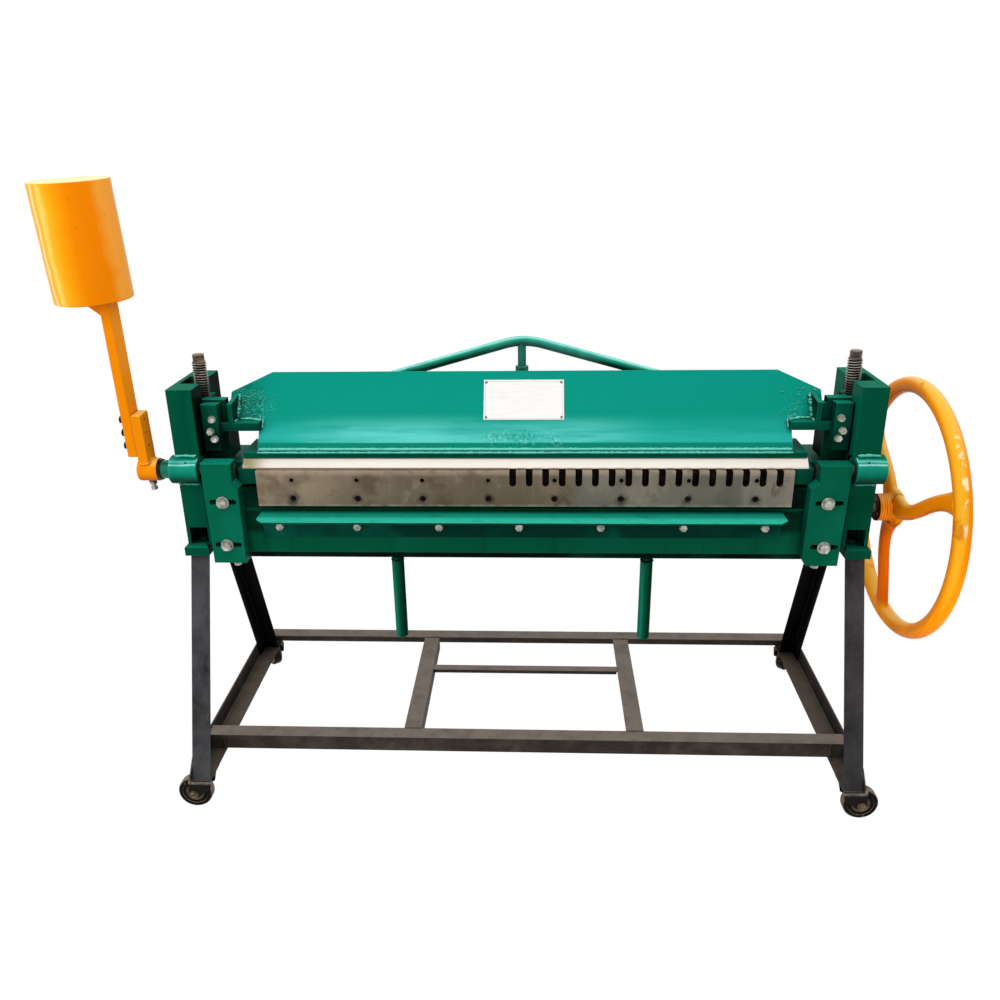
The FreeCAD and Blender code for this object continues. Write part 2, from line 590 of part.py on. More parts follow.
# outlines seen from the front (X outwards, Z), the left one is mirrored afterwards
ARM_OUTLINES = {
    "right": [(675, 20), (677, -22), (660, -38), (657, -212), (667, -231), (741, -231), (747, -22),
              (747, 20)],
    "left": [(675, 25), (677, -22), (665, -38), (666, -231), (745, -231), (748, -22), (748, 25)]}


def hinge_arm(hand):
    outer = ARM_OUTLINES[hand]
    (inner_x, top), outer_x = outer[0], outer[-1][0]
    a = slab_xz(outer, ARM_FRONT, 0)
    a = chamfer_where(a, 1.5, lambda e: abs(e.CenterOfMass.y - ARM_FRONT) < 0.1)
    back = box(inner_x + 2, outer_x, -2, 18, LEAF_TOP + 3.0, top)
    back = fillet_where(back, 16.0, lambda e: along(e, (1, 0, 0)) and e.CenterOfMass.y > 17 and
                        e.CenterOfMass.z > 0)
    a = a.fuse(back).cut(rod(HINGE_SHAFT_R, (670, 0, 0), (760, 0, 0)))
    for z in arm_slot_z:
        a = a.cut([box(679, 731, ARM_FRONT - 1, 1, z - 6.5, z + 6.5)]
                  + [rod(6.5, (x, ARM_FRONT - 1, z), (x, 1, z)) for x in (679, 731)])
    return a.removeSplitter()


parts["hinge_arm_right"] = hinge_arm("right")
parts["hinge_arm_left"] = mirror_x(hinge_arm("left"))
arm_bolts = []
for x, z in arm_bolt_at:
    arm_bolts.append(rod(15.2, (x, ARM_FRONT - 3, z), (x, ARM_FRONT, z)).fuse(
        [hexagon(21, 10, (x, ARM_FRONT - 3, z), (0, -1, 0)), rod(6, (x, ARM_FRONT - 3, z), (x, 12, z))]
    ).removeSplitter())
parts["hinge_arm_bolts"] = Part.makeCompound(arm_bolts)
parts["arm_stop_screws"] = Part.makeCompound(
    [hexagon(16, 7, (sx * 694, -14, -236), (0, 0, -1)).fuse(
        rod(5, (sx * 694, -14, -231), (sx * 694, -14, -236))).removeSplitter() for sx in (-1, 1)])

shaft_end = BOSS_OUT + 3
HUB_OUT, HUB_IN = -904.0, -857.0      # hub of the counterweight on the left shaft
parts["hinge_shaft_right"] = chamfer_where(
    rod(HINGE_SHAFT_R, (676, 0, 0), (shaft_end, 0, 0)), 1.5,
    lambda e: abs(e.CenterOfMass.x - shaft_end) < 0.1)
collar = rod(22, (-BOSS_OUT - 1, 0, 0), (-849, 0, 0)).fuse(
    chamfer_where(rod(25, (-849, 0, 0), (HUB_IN + 0.5, 0, 0)), 1.0, lambda e: len(e.Vertexes) == 1))
parts["hinge_shaft_left"] = rod(HINGE_SHAFT_R, (-676, 0, 0), (HUB_OUT - 2, 0, 0)).fuse(collar)


def handle(x):
    h = rod(15, (x, 8, LEAF_BOTTOM), (x, 8, -450))
    return fillet_where(h, 3.0, lambda e: abs(e.CenterOfMass.z + 450) < 0.1)


parts["leaf_handle_left"] = handle(-304)
parts["leaf_handle_right"] = handle(301)

# Counterweight: hub on the left hinge shaft, lapped arm and solid cylinder
hub = rod(27, (HUB_OUT, 0, 0), (HUB_IN, 0, 0))
hub = fillet_where(hub, 4.0, lambda e: abs(e.CenterOfMass.x - HUB_OUT) < 0.1)
hub = chamfer_where(hub, 1.5, lambda e: abs(e.CenterOfMass.x + 847) < 0.1)


def lean_arm(shape):
    out = turn(shape, (0, 0, 0), (1, 0, 0), ARM_LEAN_FORWARD)
    return turn(out, (-885, 0, 0), (0, 1, 0), -ARM_LEAN_OUT)


bar_x = (-917.5, -896.0)
stub = slab_xz([(bar_x[1], 10), (-873.5, 10), (-873.5, 141), (bar_x[1], 141)], -22, 22)
stub = chamfer_where(stub, 1.5, lambda e: e.CenterOfMass.z > 140)
lap_z = (61.0, 93.0, 125.0)
stub = stub.cut([rod(4.3, (-900, 0, z), (-870, 0, z)) for z in lap_z])
hub_screw_x = -881.5
hub = hub.fuse(lean_arm(stub)).cut(
    [rod(HINGE_SHAFT_R, (HUB_OUT - 5, 0, 0), (HUB_IN + 5, 0, 0)),
     turn(rod(5.1, (hub_screw_x, 0, -10), (hub_screw_x, 0, -40)), (0, 0, 0), (1, 0, 0), 8)])
parts["weight_hub"] = hub.removeSplitter()
bar = box(bar_x[0], bar_x[1], -24, 24, 40, WEIGHT_LOW + 30)
bar = chamfer_where(bar, 1.5, lambda e: along(e, (0, 0, 1)) or e.CenterOfMass.z < 41)
bar = bar.cut([rod(5.4, (-922, 0, z), (-892, 0, z)) for z in lap_z])
gusset = slab_xz([(bar_x[0], WEIGHT_LOW - 2), (-962, WEIGHT_LOW - 2), (-962, WEIGHT_LOW - 7),
                  (bar_x[0], WEIGHT_LOW - 42)], -5, 5)
drum = rod(WEIGHT_R, (WEIGHT_X, 0, WEIGHT_LOW), (WEIGHT_X, 0, WEIGHT_LOW + WEIGHT_LENGTH))
drum = fillet_where(drum, 3.0, lambda e: abs(e.CenterOfMass.z - WEIGHT_LOW) < 0.1 or
                    abs(e.CenterOfMass.z - WEIGHT_LOW - WEIGHT_LENGTH) < 0.1)
drum = turn(drum, (WEIGHT_X, 0, WEIGHT_LOW), (0, 1, 0), -WEIGHT_LEAN)
parts["weight_arm"] = lean_arm(bar.fuse(gusset).cut(drum.cut(bar)).removeSplitter())
parts["weight"] = lean_arm(drum.cut(bar))
parts["weight_arm_bolts"] = lean_arm(Part.makeCompound(
    [rod(8.5, (bar_x[0], 0, z), (bar_x[0] - 13, 0, z)).cut(
        hexagon(8, 6, (bar_x[0] - 13, 0, z), (1, 0, 0))).fuse(
        rod(5, (bar_x[0], 0, z), (bar_x[1] - 0.5, 0, z))).removeSplitter() for z in lap_z]))
hub_screw = rod(5, (hub_screw_x, 0, -14.5), (hub_screw_x, 0, -50)).fuse(
    [hexagon(17, 8, (hub_screw_x, 0, -30), (0, 0, -1)), hexagon(15, 7, (hub_screw_x, 0, -46), (0, 0, -1))])
parts["weight_hub_screw"] = turn(hub_screw.removeSplitter(), (0, 0, 0), (1, 0, 0), 8)


# Casters: swivel fork and wheel, wheel faces the front, trail to the outside
def caster(sx, y, swivel):
    x = CASTER_X
    zc = -HINGE_HEIGHT + CASTER_R
    xw = x + CASTER_TRAIL
    crown_z = RAIL_UNDER - 8.3
    loop = [(x - 20, y - 19.5), (x + 14, y - 19.5), (xw + 10, y - 19.5), (xw + 10, y + 19.5),
            (x - 20, y + 19.5)]
    crown = slab_xy(loop, crown_z - 2.5, crown_z)
    sides = []
    for y0 in (y - 19.5, y + 16.5):
        sides.append(slab_xz([(x - 20, crown_z), (xw + 10, crown_z), (xw + 12, zc + 6), (xw + 6, zc - 10),
                              (xw - 8, zc - 10), (x - 12, zc + 14)], y0, y0 + 3))
    pin = rod(6, (x, y, crown_z), (x, y, RAIL_UNDER + 7))
    axle = rod(5, (xw, y - 24, zc), (xw, y + 24, zc))
    caps = [hexagon(13, 4, (xw, y - 19.5, zc), (0, -1, 0)), hexagon(13, 5, (xw, y + 19.5, zc), (0, 1, 0))]
    fork = crown.fuse(sides + [pin, axle] + caps).removeSplitter()
    half = 13.0
    profile = [(5 + RUNNING_FIT, -half - 1.5), (14, -half - 1.5), (15, -half + 2), (31, -half + 3),
               (32, -half), (39.5, -half), (CASTER_R, -half + 4), (CASTER_R, half - 4), (39.5, half),
               (32, half), (31, half - 3), (15, half - 2), (14, half + 1.5), (5 + RUNNING_FIT, half + 1.5)]
    pts = [V(xw + r, y + w, zc) for r, w in profile]
    tyre = Part.Face(Part.makePolygon(pts + pts[:1])).revolve(V(xw, y, zc), V(0, 1, 0), 360)
    fork, tyre = [turn(s, (x, y, 0), (0, 0, 1), swivel) for s in (fork, tyre)]
    return (fork, tyre) if sx > 0 else (mirror_x(fork), mirror_x(tyre))


for end, y, swivel in (("front", CASTER_Y[0], REST_SWIVEL[0]), ("rear", CASTER_Y[1], REST_SWIVEL[1])):
    for hand, sx in (("left", -1), ("right", 1)):
        fork, tyre = caster(sx, y, swivel)
        parts["caster_fork_%s_%s" % (end, hand)] = fork
        parts["caster_wheel_%s_%s" % (end, hand)] = tyre

# Centre the footprint, put the floor at Z = 0 and write one file per piece
whole = Part.makeCompound(list(parts.values()))
room = whole.optimalBoundingBox(False, False)
shift = V(-(room.XMin + room.XMax) / 2, -(room.YMin + room.YMax) / 2, HINGE_HEIGHT)
os.makedirs("parts", exist_ok=True)
for name, shape in parts.items():
    moved = shape.copy()
    moved.translate(shift)
    moved.exportStep("parts/%s.step" % name)
print("pieces %d  shift %.4f %.4f %.4f  size %.1f x %.1f x %.1f" % (
    len(parts), shift.x, shift.y, shift.z, room.XLength, room.YLength, room.ZLength))
for name, shape in parts.items():
    if not shape.isValid() or any(s.Volume <= 0 for s in shape.Solids):
        print("check", name, shape.isValid(), [round(s.Volume) for s in shape.Solids])
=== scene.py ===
import bmesh
import bpy
import math
import random
from mathutils import Matrix, Vector

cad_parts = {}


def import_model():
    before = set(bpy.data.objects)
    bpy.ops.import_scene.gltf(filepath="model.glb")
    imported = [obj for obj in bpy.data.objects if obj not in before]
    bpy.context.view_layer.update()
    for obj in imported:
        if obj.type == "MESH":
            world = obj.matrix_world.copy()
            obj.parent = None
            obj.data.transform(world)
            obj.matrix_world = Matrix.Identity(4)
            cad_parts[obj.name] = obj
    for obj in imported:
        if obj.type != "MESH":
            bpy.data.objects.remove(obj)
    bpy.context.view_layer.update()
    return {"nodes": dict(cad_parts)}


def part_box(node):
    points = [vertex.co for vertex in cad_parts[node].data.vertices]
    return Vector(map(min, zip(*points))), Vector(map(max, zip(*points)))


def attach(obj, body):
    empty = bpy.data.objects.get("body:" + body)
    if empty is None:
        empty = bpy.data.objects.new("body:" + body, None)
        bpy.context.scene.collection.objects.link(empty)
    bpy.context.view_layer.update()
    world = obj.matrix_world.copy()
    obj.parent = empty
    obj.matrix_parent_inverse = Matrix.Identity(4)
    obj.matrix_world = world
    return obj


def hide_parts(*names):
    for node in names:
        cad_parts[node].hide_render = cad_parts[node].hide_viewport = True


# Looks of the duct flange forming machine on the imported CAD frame. Metres.
# Places are given in millimetres about the bend line, as in the part's source, through P().

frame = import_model()
NODES = frame["nodes"]
MM = 0.001


def middle(node):
    low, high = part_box(node)
    return (Vector(low) + Vector(high)) / 2


SHAFT = middle("hinge_shaft_right")
ORIGIN = Vector((middle("blade").x, SHAFT.y, SHAFT.z))


def P(x, y, z):
    """Point in millimetres about the bend line as a place in the row frame."""
    return ORIGIN + Vector((x, y, z)) * MM


# Colours and shader graphs
def linear(code):
    """sRGB hex code as an opaque linear colour."""
    out = []
    for k in (0, 2, 4):
        c = int(code[k:k + 2], 16) / 255
        out.append(c / 12.92 if c <= 0.04045 else ((c + 0.055) / 1.055) ** 2.4)
    return (*out, 1.0)


class Graph:
    """A material's node tree with short calls for the nodes used here."""

    SOCKETS = {"color": "Base Color", "rough": "Roughness", "metal": "Metallic",
               "normal": "Normal", "spec": "Specular IOR Level", "aniso": "Anisotropic"}

    def __init__(self, name):
        self.mat = bpy.data.materials.new(name)
        self.mat.use_nodes = True
        self.tree = self.mat.node_tree
        self.tree.nodes.clear()
        self.bsdf = self.add("ShaderNodeBsdfPrincipled")
        out = self.add("ShaderNodeOutputMaterial")
        self.tree.links.new(self.bsdf.outputs["BSDF"], out.inputs["Surface"])
        self.where = self.add("ShaderNodeTexCoord").outputs["Object"]
        self.true_normal = self.add("ShaderNodeNewGeometry").outputs["Normal"]
        self.normal = None

    def add(self, kind, values=None, **settings):
        n = self.tree.nodes.new(kind)
        for key, value in settings.items():
            setattr(n, key, value)
        for key, value in (values or {}).items():
            self.put(n.inputs[key], value)
        return n

    def put(self, socket, value):
        """Link a socket, or set it to a number, a vector or a hex colour."""
        if isinstance(value, bpy.types.NodeSocket):
            self.tree.links.new(value, socket)
        elif isinstance(value, str):
            socket.default_value = linear(value)
        else:
            socket.default_value = value

    def set(self, **values):
        """Set or link the shader's inputs and give the material back."""
        for key, value in values.items():
            self.put(self.bsdf.inputs[self.SOCKETS[key]], value)
        return self.mat

    def math(self, op, a, b=0.0, c=0.0):
        return self.add("ShaderNodeMath", {0: a, 1: b, 2: c}, operation=op).outputs[0]

    def times(self, a, *rest):
        for b in rest:
            a = self.math("MULTIPLY", a, b)
        return a

    def less(self, a):
        """What is missing to 1."""
        return self.math("SUBTRACT", 1.0, a)

    def apart(self, a, b):
        """How far two values are from each other, without sign."""
        return self.math("ABSOLUTE", self.math("SUBTRACT", a, b))

    def half(self, value):
        """-1 to 1 brought to 0 to 1."""
        return self.math("MULTIPLY_ADD", value, 0.5, 0.5)

    def radius(self, a, b):
        """Distance from an axis of a point with these two offsets."""
        return self.math("SQRT", self.math("ADD", self.times(a, a), self.times(b, b)))

    def toward(self, direction, vector=None):
        """1 where a face looks along the direction, down to -1 where it looks away."""
        return self.add("ShaderNodeVectorMath", {0: vector or self.true_normal, 1: direction},
                        operation="DOT_PRODUCT").outputs["Value"]

    def stretch(self, scale, vector=None, move=(0, 0, 0)):
        n = self.add("ShaderNodeMapping", {"Vector": vector or self.where})
        n.inputs["Scale"].default_value = scale
        n.inputs["Location"].default_value = move
        return n.outputs[0]

    def noise(self, scale, detail=4.0, rough=0.55, vector=None, warp=0.0):
        values = {"Vector": vector or self.where, "Scale": scale, "Detail": detail,
                  "Roughness": rough, "Distortion": warp}
        return self.add("ShaderNodeTexNoise", values).outputs["Fac"]

    def sway(self, width, scale, detail=4.0, rough=0.55):
        """Noise about zero, of the given width."""
        return self.times(self.math("SUBTRACT", self.noise(scale, detail, rough), 0.5), width)

    def span(self, value, low, high, to_low=0.0, to_high=1.0):
        """Smooth step between two values, which may run downwards."""
        values = {"Value": value, "From Min": low, "From Max": high,
                  "To Min": to_low, "To Max": to_high}
        return self.add("ShaderNodeMapRange", values,
                        interpolation_type="SMOOTHSTEP").outputs["Result"]

    def ramp(self, value, *stops):
        n = self.add("ShaderNodeValToRGB", {"Fac": value})
        bar = n.color_ramp.elements
        while len(bar) < len(stops):
            bar.new(0.5)
        for element, (at, code) in zip(bar, stops):
            element.position = at
            element.color = linear(code)
        return n.outputs["Color"]

    def mix(self, amount, a, b):
        n = self.add("ShaderNodeMix", data_type="RGBA")
        for key, value in ((0, amount), (6, a), (7, b)):
            self.put(n.inputs[key], value)
        return n.outputs[2]

    def axis(self, name, vector=None):
        return self.add("ShaderNodeSeparateXYZ", {0: vector or self.where}).outputs[name]

    def off(self, name, zero):
        """Distance along an axis from a place in the row frame."""
        return self.math("SUBTRACT", self.axis(name), zero)

    def place(self, name, low, high):
        """0 to 1 between two heights or positions, in millimetres about the bend line."""
        zero = ORIGIN["XYZ".index(name)]
        return self.span(self.axis(name), zero + low * MM, zero + high * MM)

    def zone(self, name, low, high, soft):
        """1 between two positions in millimetres, with soft ends."""
        return self.times(self.place(name, low - soft, low + soft),
                          self.place(name, high + soft, high - soft))

    def facing(self, name):
        """How far a face looks along an axis, -1 to 1."""
        return self.axis(name, self.true_normal)

    def edges(self, radius, low=0.02, high=0.25):
        """1 near edges, 0 on flats."""
        soft = self.add("ShaderNodeBevel", {"Radius": radius}, samples=6).outputs["Normal"]
        return self.span(self.less(self.toward(self.true_normal, soft)), low, high)

    def hollow(self, reach, low=0.25, high=0.85):
        """1 in corners and crevices, 0 in the open."""
        ao = self.add("ShaderNodeAmbientOcclusion", {"Distance": reach}, samples=8).outputs["AO"]
        return self.span(ao, high, low)

    def bump(self, height, depth):
        values = {"Height": height, "Distance": depth, "Strength": 1.0}
        if self.normal:
            values["Normal"] = self.normal
        self.normal = self.add("ShaderNodeBump", values).outputs["Normal"]


def enamel(name, front, up, side, glint="3FB39C", rough=0.3, seed=0.0, spec=0.02, tone=None,
           peel=1.0, streaks=0.35, over=None):
    """Machine enamel sprayed on steel: cloudy, with orange peel, chips, and painted light and
    shade.
    The up colour is painted light on faces that look up; the side colour is painted shade on the
    sides, on faces that look down and in corners and crevices; glint is a painted highlight on open
    edges. The tone of a piece goes under the clouds and the painted shade, and over goes on top of
    them."""
    g = Graph(name)
    place = g.stretch((1, 1, 1), move=(seed, seed * 0.7, 0))
    # Painted light and shade: darker on the sides and on faces that look down, lighter on faces
    # that look up
    color = g.mix(g.span(g.math("ABSOLUTE", g.facing("X")), 0.45, 0.95), front, side)
    color = g.mix(g.span(g.facing("Z"), 0.15, 0.95), color, up)
    color = g.mix(g.span(g.facing("Z"), -0.15, -0.9), color, side)
    if tone:
        color = tone(g, color)
    cloud = g.noise(5.5, 3, vector=place)
    color = g.mix(g.span(cloud, 0.45, 0.72, 0, 0.22), color, up)
    streak = g.noise(9, 4, vector=g.stretch((3.2, 3.2, 0.35), place))
    color = g.mix(g.span(streak, 0.5, 0.8, 0, streaks), color, side)
    # Painted shade in corners, near black in crevices
    corner_shade = g.hollow(0.03)
    color = g.mix(g.times(corner_shade, 0.75), color, side)
    crevice_shade = g.hollow(0.008, 0.15, 0.6)
    color = g.mix(g.times(crevice_shade, 0.55), color, "010D08")
    if over:
        color = over(g, color)
    # Painted highlight on open edges, in patches; chips of wear go over it
    edge = g.edges(0.0016)
    crest_highlight = g.times(edge, g.less(corner_shade))
    patchy = g.span(g.noise(60, 3, vector=place), 0.3, 0.6, 0.15, 0.6)
    color = g.mix(g.times(crest_highlight, patchy), color, glint)
    spot = g.span(g.noise(120, 3, 0.7, vector=place), 0.66, 0.69)
    wear = g.times(spot, g.span(edge, 0.12, 0.5), 0.8)
    color = g.mix(wear, color, "3A3731")
    g.bump(g.noise(330, 2, 0.5), 0.00005 * peel)
    g.bump(g.noise(42, 3, 0.5, vector=place), 0.0004 * peel)
    shine = g.span(g.noise(16, 4, vector=place), 0.3, 0.75, rough - 0.06, rough + 0.08)
    return g, g.set(color=color, rough=g.math("ADD", shine, g.times(wear, 0.4)), normal=g.normal,
                    spec=spec)


# Left, right, lower and upper end of the rough patches on the leaning face
BLISTERS = ((-88, 98, 50, 80), (-660, -600, 78, 150), (615, 660, 84, 128))


def blisters(g):
    """Rough patches under the paint of the leaning face: one below the plate, one at each end."""
    middle_patch, left_patch, right_patch = (
        g.times(g.zone("X", x0, x1, 12), g.zone("Z", z0, z1, 6)) for x0, x1, z0, z1 in BLISTERS)
    ends = g.math("MAXIMUM", middle_patch, left_patch)
    ragged = g.span(g.noise(24, 3), 0.36, 0.6)
    return g.times(g.math("MAXIMUM", ends, right_patch), ragged)


# The leaning face carries painted shade below this height
FOOT_SHADE = 53     # height below which the leaning face is dark


def face_tone(g, color):
    """Leaning beam face: a painted sheen, standing for a reflection, in level streaks low down;
    painted shade along the foot; blisters with painted glints on their raised spots and painted
    shade in dips.
    """
    streaks = g.noise(1, 4, 0.6, vector=g.stretch((3.0, 20, 46)))
    low = g.times(g.place("Z", 118, 64), g.place("Z", FOOT_SHADE - 1, FOOT_SHADE + 4))
    # Painted sheen: lighter level streaks over the low band, lightest in the middle
    color = g.mix(g.times(low, g.span(streaks, 0.25, 0.6, 0.35, 0.9)), color, "27B2A5")
    painted_sheen = g.times(low, g.zone("X", -480, 230, 110), g.span(streaks, 0.32, 0.62, 0.2, 0.9))
    color = g.mix(painted_sheen, color, "63D2C8")
    color = g.mix(g.place("Z", FOOT_SHADE + 3, FOOT_SHADE), color, "06806B")
    smear = g.span(g.noise(30, 4, 0.6, vector=g.stretch((0.5, 1, 1.6))), 0.4, 0.62, 0.1, 0.8)
    by_bracket = g.times(g.place("X", -598, -640), g.place("Z", 96, 108))
    color = g.mix(g.times(by_bracket, smear), color, "04705C")
    # Painted glints on the blisters' raised spots and painted shade in their dips
    speck = g.noise(125, 3, 0.6, warp=0.5)
    where = blisters(g)
    color = g.mix(g.times(where, g.span(speck, 0.55, 0.62), 0.5), color, "9BEBE0")
    return g.mix(g.times(where, g.span(speck, 0.46, 0.4), 0.45), color, "046E5C")


def leaf_tone(g, color):
    """Leaf: painted shade below the stiffening angle, painted black shadow in the gap above it and
    on the lower lip, and a painted shadow band just under the angle.
    """
    color = g.mix(g.times(g.place("Z", -96, -108), g.place("Z", -172, -150)), color, "022E1E")
    gap, lip = g.place("Z", -100, -98), g.place("Z", -216.2, -217.2)
    color = g.mix(g.math("MAXIMUM", gap, lip), color, "00100A")
    shadow = g.times(g.place("Z", -105, -112), g.place("Z", -128, -116), 0.7)
    return g.mix(shadow, color, "011A11")


def slide_tone(g, color):
    """Slides: painted black shade below the brackets, between the column posts."""
    return g.mix(g.times(g.place("Z", 112, 62), 0.88), color, "010B07")


def column_tone(g, color):
    """Column posts: painted black shade on the left one where it looks at its slide, painted light
    on the right one where it looks left, painted shade on the right one under its boss, and painted
    black shade in the gaps between the posts."""
    left = g.place("X", 100, -100)
    dark = g.times(left, g.span(g.facing("X"), 0.4, 0.9))
    color = g.mix(g.times(dark, 0.85), color, "010B07")
    lit = g.times(g.less(left), g.span(g.facing("X"), -0.4, -0.9))
    color = g.mix(g.times(lit, 0.85), color, "04634A")
    boss_shadow = g.times(g.less(left), g.place("Z", -25, -75))
    color = g.mix(g.times(boss_shadow, 0.5), color, "01281A")
    between = g.times(g.hollow(0.11, 0.12, 0.42), g.span(g.facing("Y"), -0.95, -0.8))
    return g.mix(between, color, "010B07")


def arm_tone(g, color):
    """Hinge arms: the right one is a little darker, turned from the light."""
    return g.mix(g.place("X", -100, 100), color, g.mix(0.5, color, "034A33"))


def by_slope(*stops):
    """Painted light and shade of round parts, with bands of painted highlight, by how far a face
    looks
    up: 0 straight down, 0.5 level, 1 straight up.
    """
    def tone(g, color):
        return g.ramp(g.math("ADD", g.half(g.facing("Z")), g.sway(0.12, 12, 3)), *stops)
    return tone


def handle_tone(g, color):
    """Leaf handles: painted highlight on the left, painted shade on the right."""
    return g.ramp(g.half(g.facing("X")), (0.02, "0A6048"), (0.2, "138066"), (0.4, "06593F"),
                  (0.62, "03402B"), (0.9, "012317"))


NOSE_END = 628      # half the length of the lower jaw's bare nose


def bed_tone(g, color):
    """Lower jaw: bare oily steel on the nose behind the blade."""
    nose = g.times(g.place("Y", 8, 5), g.place("Z", -50, -44), g.zone("X", -NOSE_END, NOSE_END, 2))
    bare = g.ramp(g.noise(45, 4), (0.35, "050302"), (0.6, "1C120B"), (0.8, "3A2A1B"))
    return g.mix(nose, color, bare)


def angle_tone(g, color):
    """Stiffening angle: the front half of its top catches the light, the leg below stays dark."""
    return g.mix(g.times(g.place("Y", -32, -50), g.facing("Z")), color, "31C6AB")


def face_enamel():
    """Enamel of the leaning face, with its blisters standing up."""
    g = enamel("Green enamel, sprayed, leaning face", "038C76", "059A89", "01392A", "6AD5C5",
               rough=0.26, tone=face_tone, peel=0.8, streaks=0.0)[0]
    where = blisters(g)
    g.bump(g.times(g.noise(125, 3, 0.6, warp=0.5), where), 0.0024)
    return g.set(normal=g.normal)


def orange(name, base="FC9006", light="FFA51A", shade="D05204", tone=None):
    """Orange enamel: painted yellow light on faces that look up, a little painted light on faces
    that look right, redder painted shade on faces that look down and in hollows, painted highlight
    on edges, dark pits.
    """
    g = Graph(name)
    color = g.mix(g.span(g.noise(7, 3), 0.4, 0.75, 0, 0.4), base, light)
    # Painted light on faces that look up and, a little, on faces that look right; painted shade on
    # faces that look down
    color = g.mix(g.span(g.facing("Z"), 0.4, 1.0, 0, 0.9), color, "FFD36A")
    color = g.mix(g.span(g.facing("Z"), -0.2, -0.9, 0, 0.55), color, shade)
    color = g.mix(g.span(g.facing("X"), 0.5, 0.98, 0, 0.8), color, "FF980C")
    if tone:
        color = tone(g, color)
    # Painted shade in hollows, dark red in crevices
    corner_shade = g.hollow(0.035, 0.2, 0.8)
    color = g.mix(g.times(corner_shade, 0.85), color, shade)
    color = g.mix(g.times(g.hollow(0.008, 0.1, 0.55), 0.6), color, "5A1600")
    # Painted highlight on open edges
    crest_highlight = g.times(g.edges(0.0025), g.less(corner_shade))
    color = g.mix(g.times(crest_highlight, 0.5), color, "FFC95A")
    pit = g.span(g.noise(150, 3, 0.7), 0.68, 0.72)
    color = g.mix(g.times(pit, 0.35), color, "8A3A08")
    g.bump(g.noise(300, 2, 0.5), 0.00005)
    g.bump(g.noise(38, 3), 0.0006)
    return g.set(color=color, rough=g.span(g.noise(20, 3), 0.3, 0.7, 0.2, 0.3), normal=g.normal,
                 spec=0.02)


def weight_tone(g, color):
    """Counterweight: a painted reflection of a bright window in yellow streaks down its left third,
    and a painted highlight on its top.
    """
    around = g.toward((0.968, 0, 0.252))    # square to the leaning weight's axis, to its right
    place = g.math("ADD", g.half(around), g.sway(0.16, 9, 4, 0.6))
    # The ramp is the painted reflection in yellow streaks; it turns back to plain orange on faces
    # turned away
    coat = g.ramp(place, (0.0, "FFAE2A"), (0.08, "FFDC68"), (0.16, "F9A41A"), (0.2, "FFE79C"),
                  (0.25, "FCAE22"), (0.31, "FFD766"), (0.38, "FFB41E"), (0.5, "FDA00C"),
                  (0.66, "F78903"), (0.88, "FB8803"), (0.95, "FFA63C"))
    turned_away = g.times(g.span(g.facing("Y"), -0.36, -0.12), g.span(around, 0.0, -0.3))
    coat = g.mix(turned_away, coat, "F99A12")
    # Painted highlight on the top
    color = g.mix(g.span(g.facing("Z"), 0.7, 0.9), color, "FFF0A8")
    round_side = g.span(g.apart(g.facing("Z"), g.times(around, 0.25)), 0.75, 0.6)
    return g.mix(round_side, color, coat)


HUB_START = 859     # where the handwheel's grooved hub starts
GROOVE_PITCH = 6


def wheel_tone(g, color):
    """Handwheel: painted yellow highlights and glints on the rim's near side, painted shade on the
    lower spoke, painted light on the hub's ridges and painted shade in its grooves, black on the
    hub's end that looks at the column."""
    centre = middle("handwheel")
    off_z = g.off("Z", centre.z)
    away = g.radius(g.off("Y", centre.y), off_z)
    rim = g.span(away, 0.255, 0.285)
    along = g.math("DIVIDE", g.off("X", ORIGIN.x + HUB_START * MM), GROOVE_PITCH * MM)
    ridge = g.apart(g.math("FRACT", along), 0.5)
    collar = g.times(g.span(away, 0.036, 0.034), g.zone("X", HUB_START, HUB_START + 30, 0.5))
    # Painted light on the hub's ridges and painted shade in its grooves
    color = g.mix(g.times(collar, g.span(ridge, 0.26, 0.38), 0.8), color, "F0862A")
    color = g.mix(g.times(collar, g.span(ridge, 0.24, 0.1), 0.85), color, "B9560D")
    # Painted shade on the lower spoke
    spoke_shade = g.times(g.less(rim), g.span(off_z, -0.02, -0.06))
    color = g.mix(g.times(spoke_shade, 0.85), color, "E25F04")
    # Painted highlight and painted glints on the rim
    gleam = g.span(g.toward((-0.5, -0.72, 0.48)), 0.6, 0.95)
    color = g.mix(g.times(gleam, rim, 0.85), color, "FFBA2A")
    glint = g.span(g.toward((-0.12, -0.84, 0.53)), 0.9, 0.96)
    flecks = g.noise(30, 4, 0.6, vector=g.stretch((1, 1, 0.7), move=(0, 0.3, 0.1)))
    color = g.mix(g.times(glint, g.span(flecks, 0.46, 0.54), rim, 0.9), color, "FFEFBC")
    worn = g.times(rim, g.span(g.noise(16, 4, 0.6), 0.62, 0.72))
    color = g.mix(g.times(worn, 0.5), color, "C24E06")
    oily = g.times(g.span(g.facing("X"), -0.8, -0.95), g.place("X", 880, 870))
    return g.mix(oily, color, "0C0806")


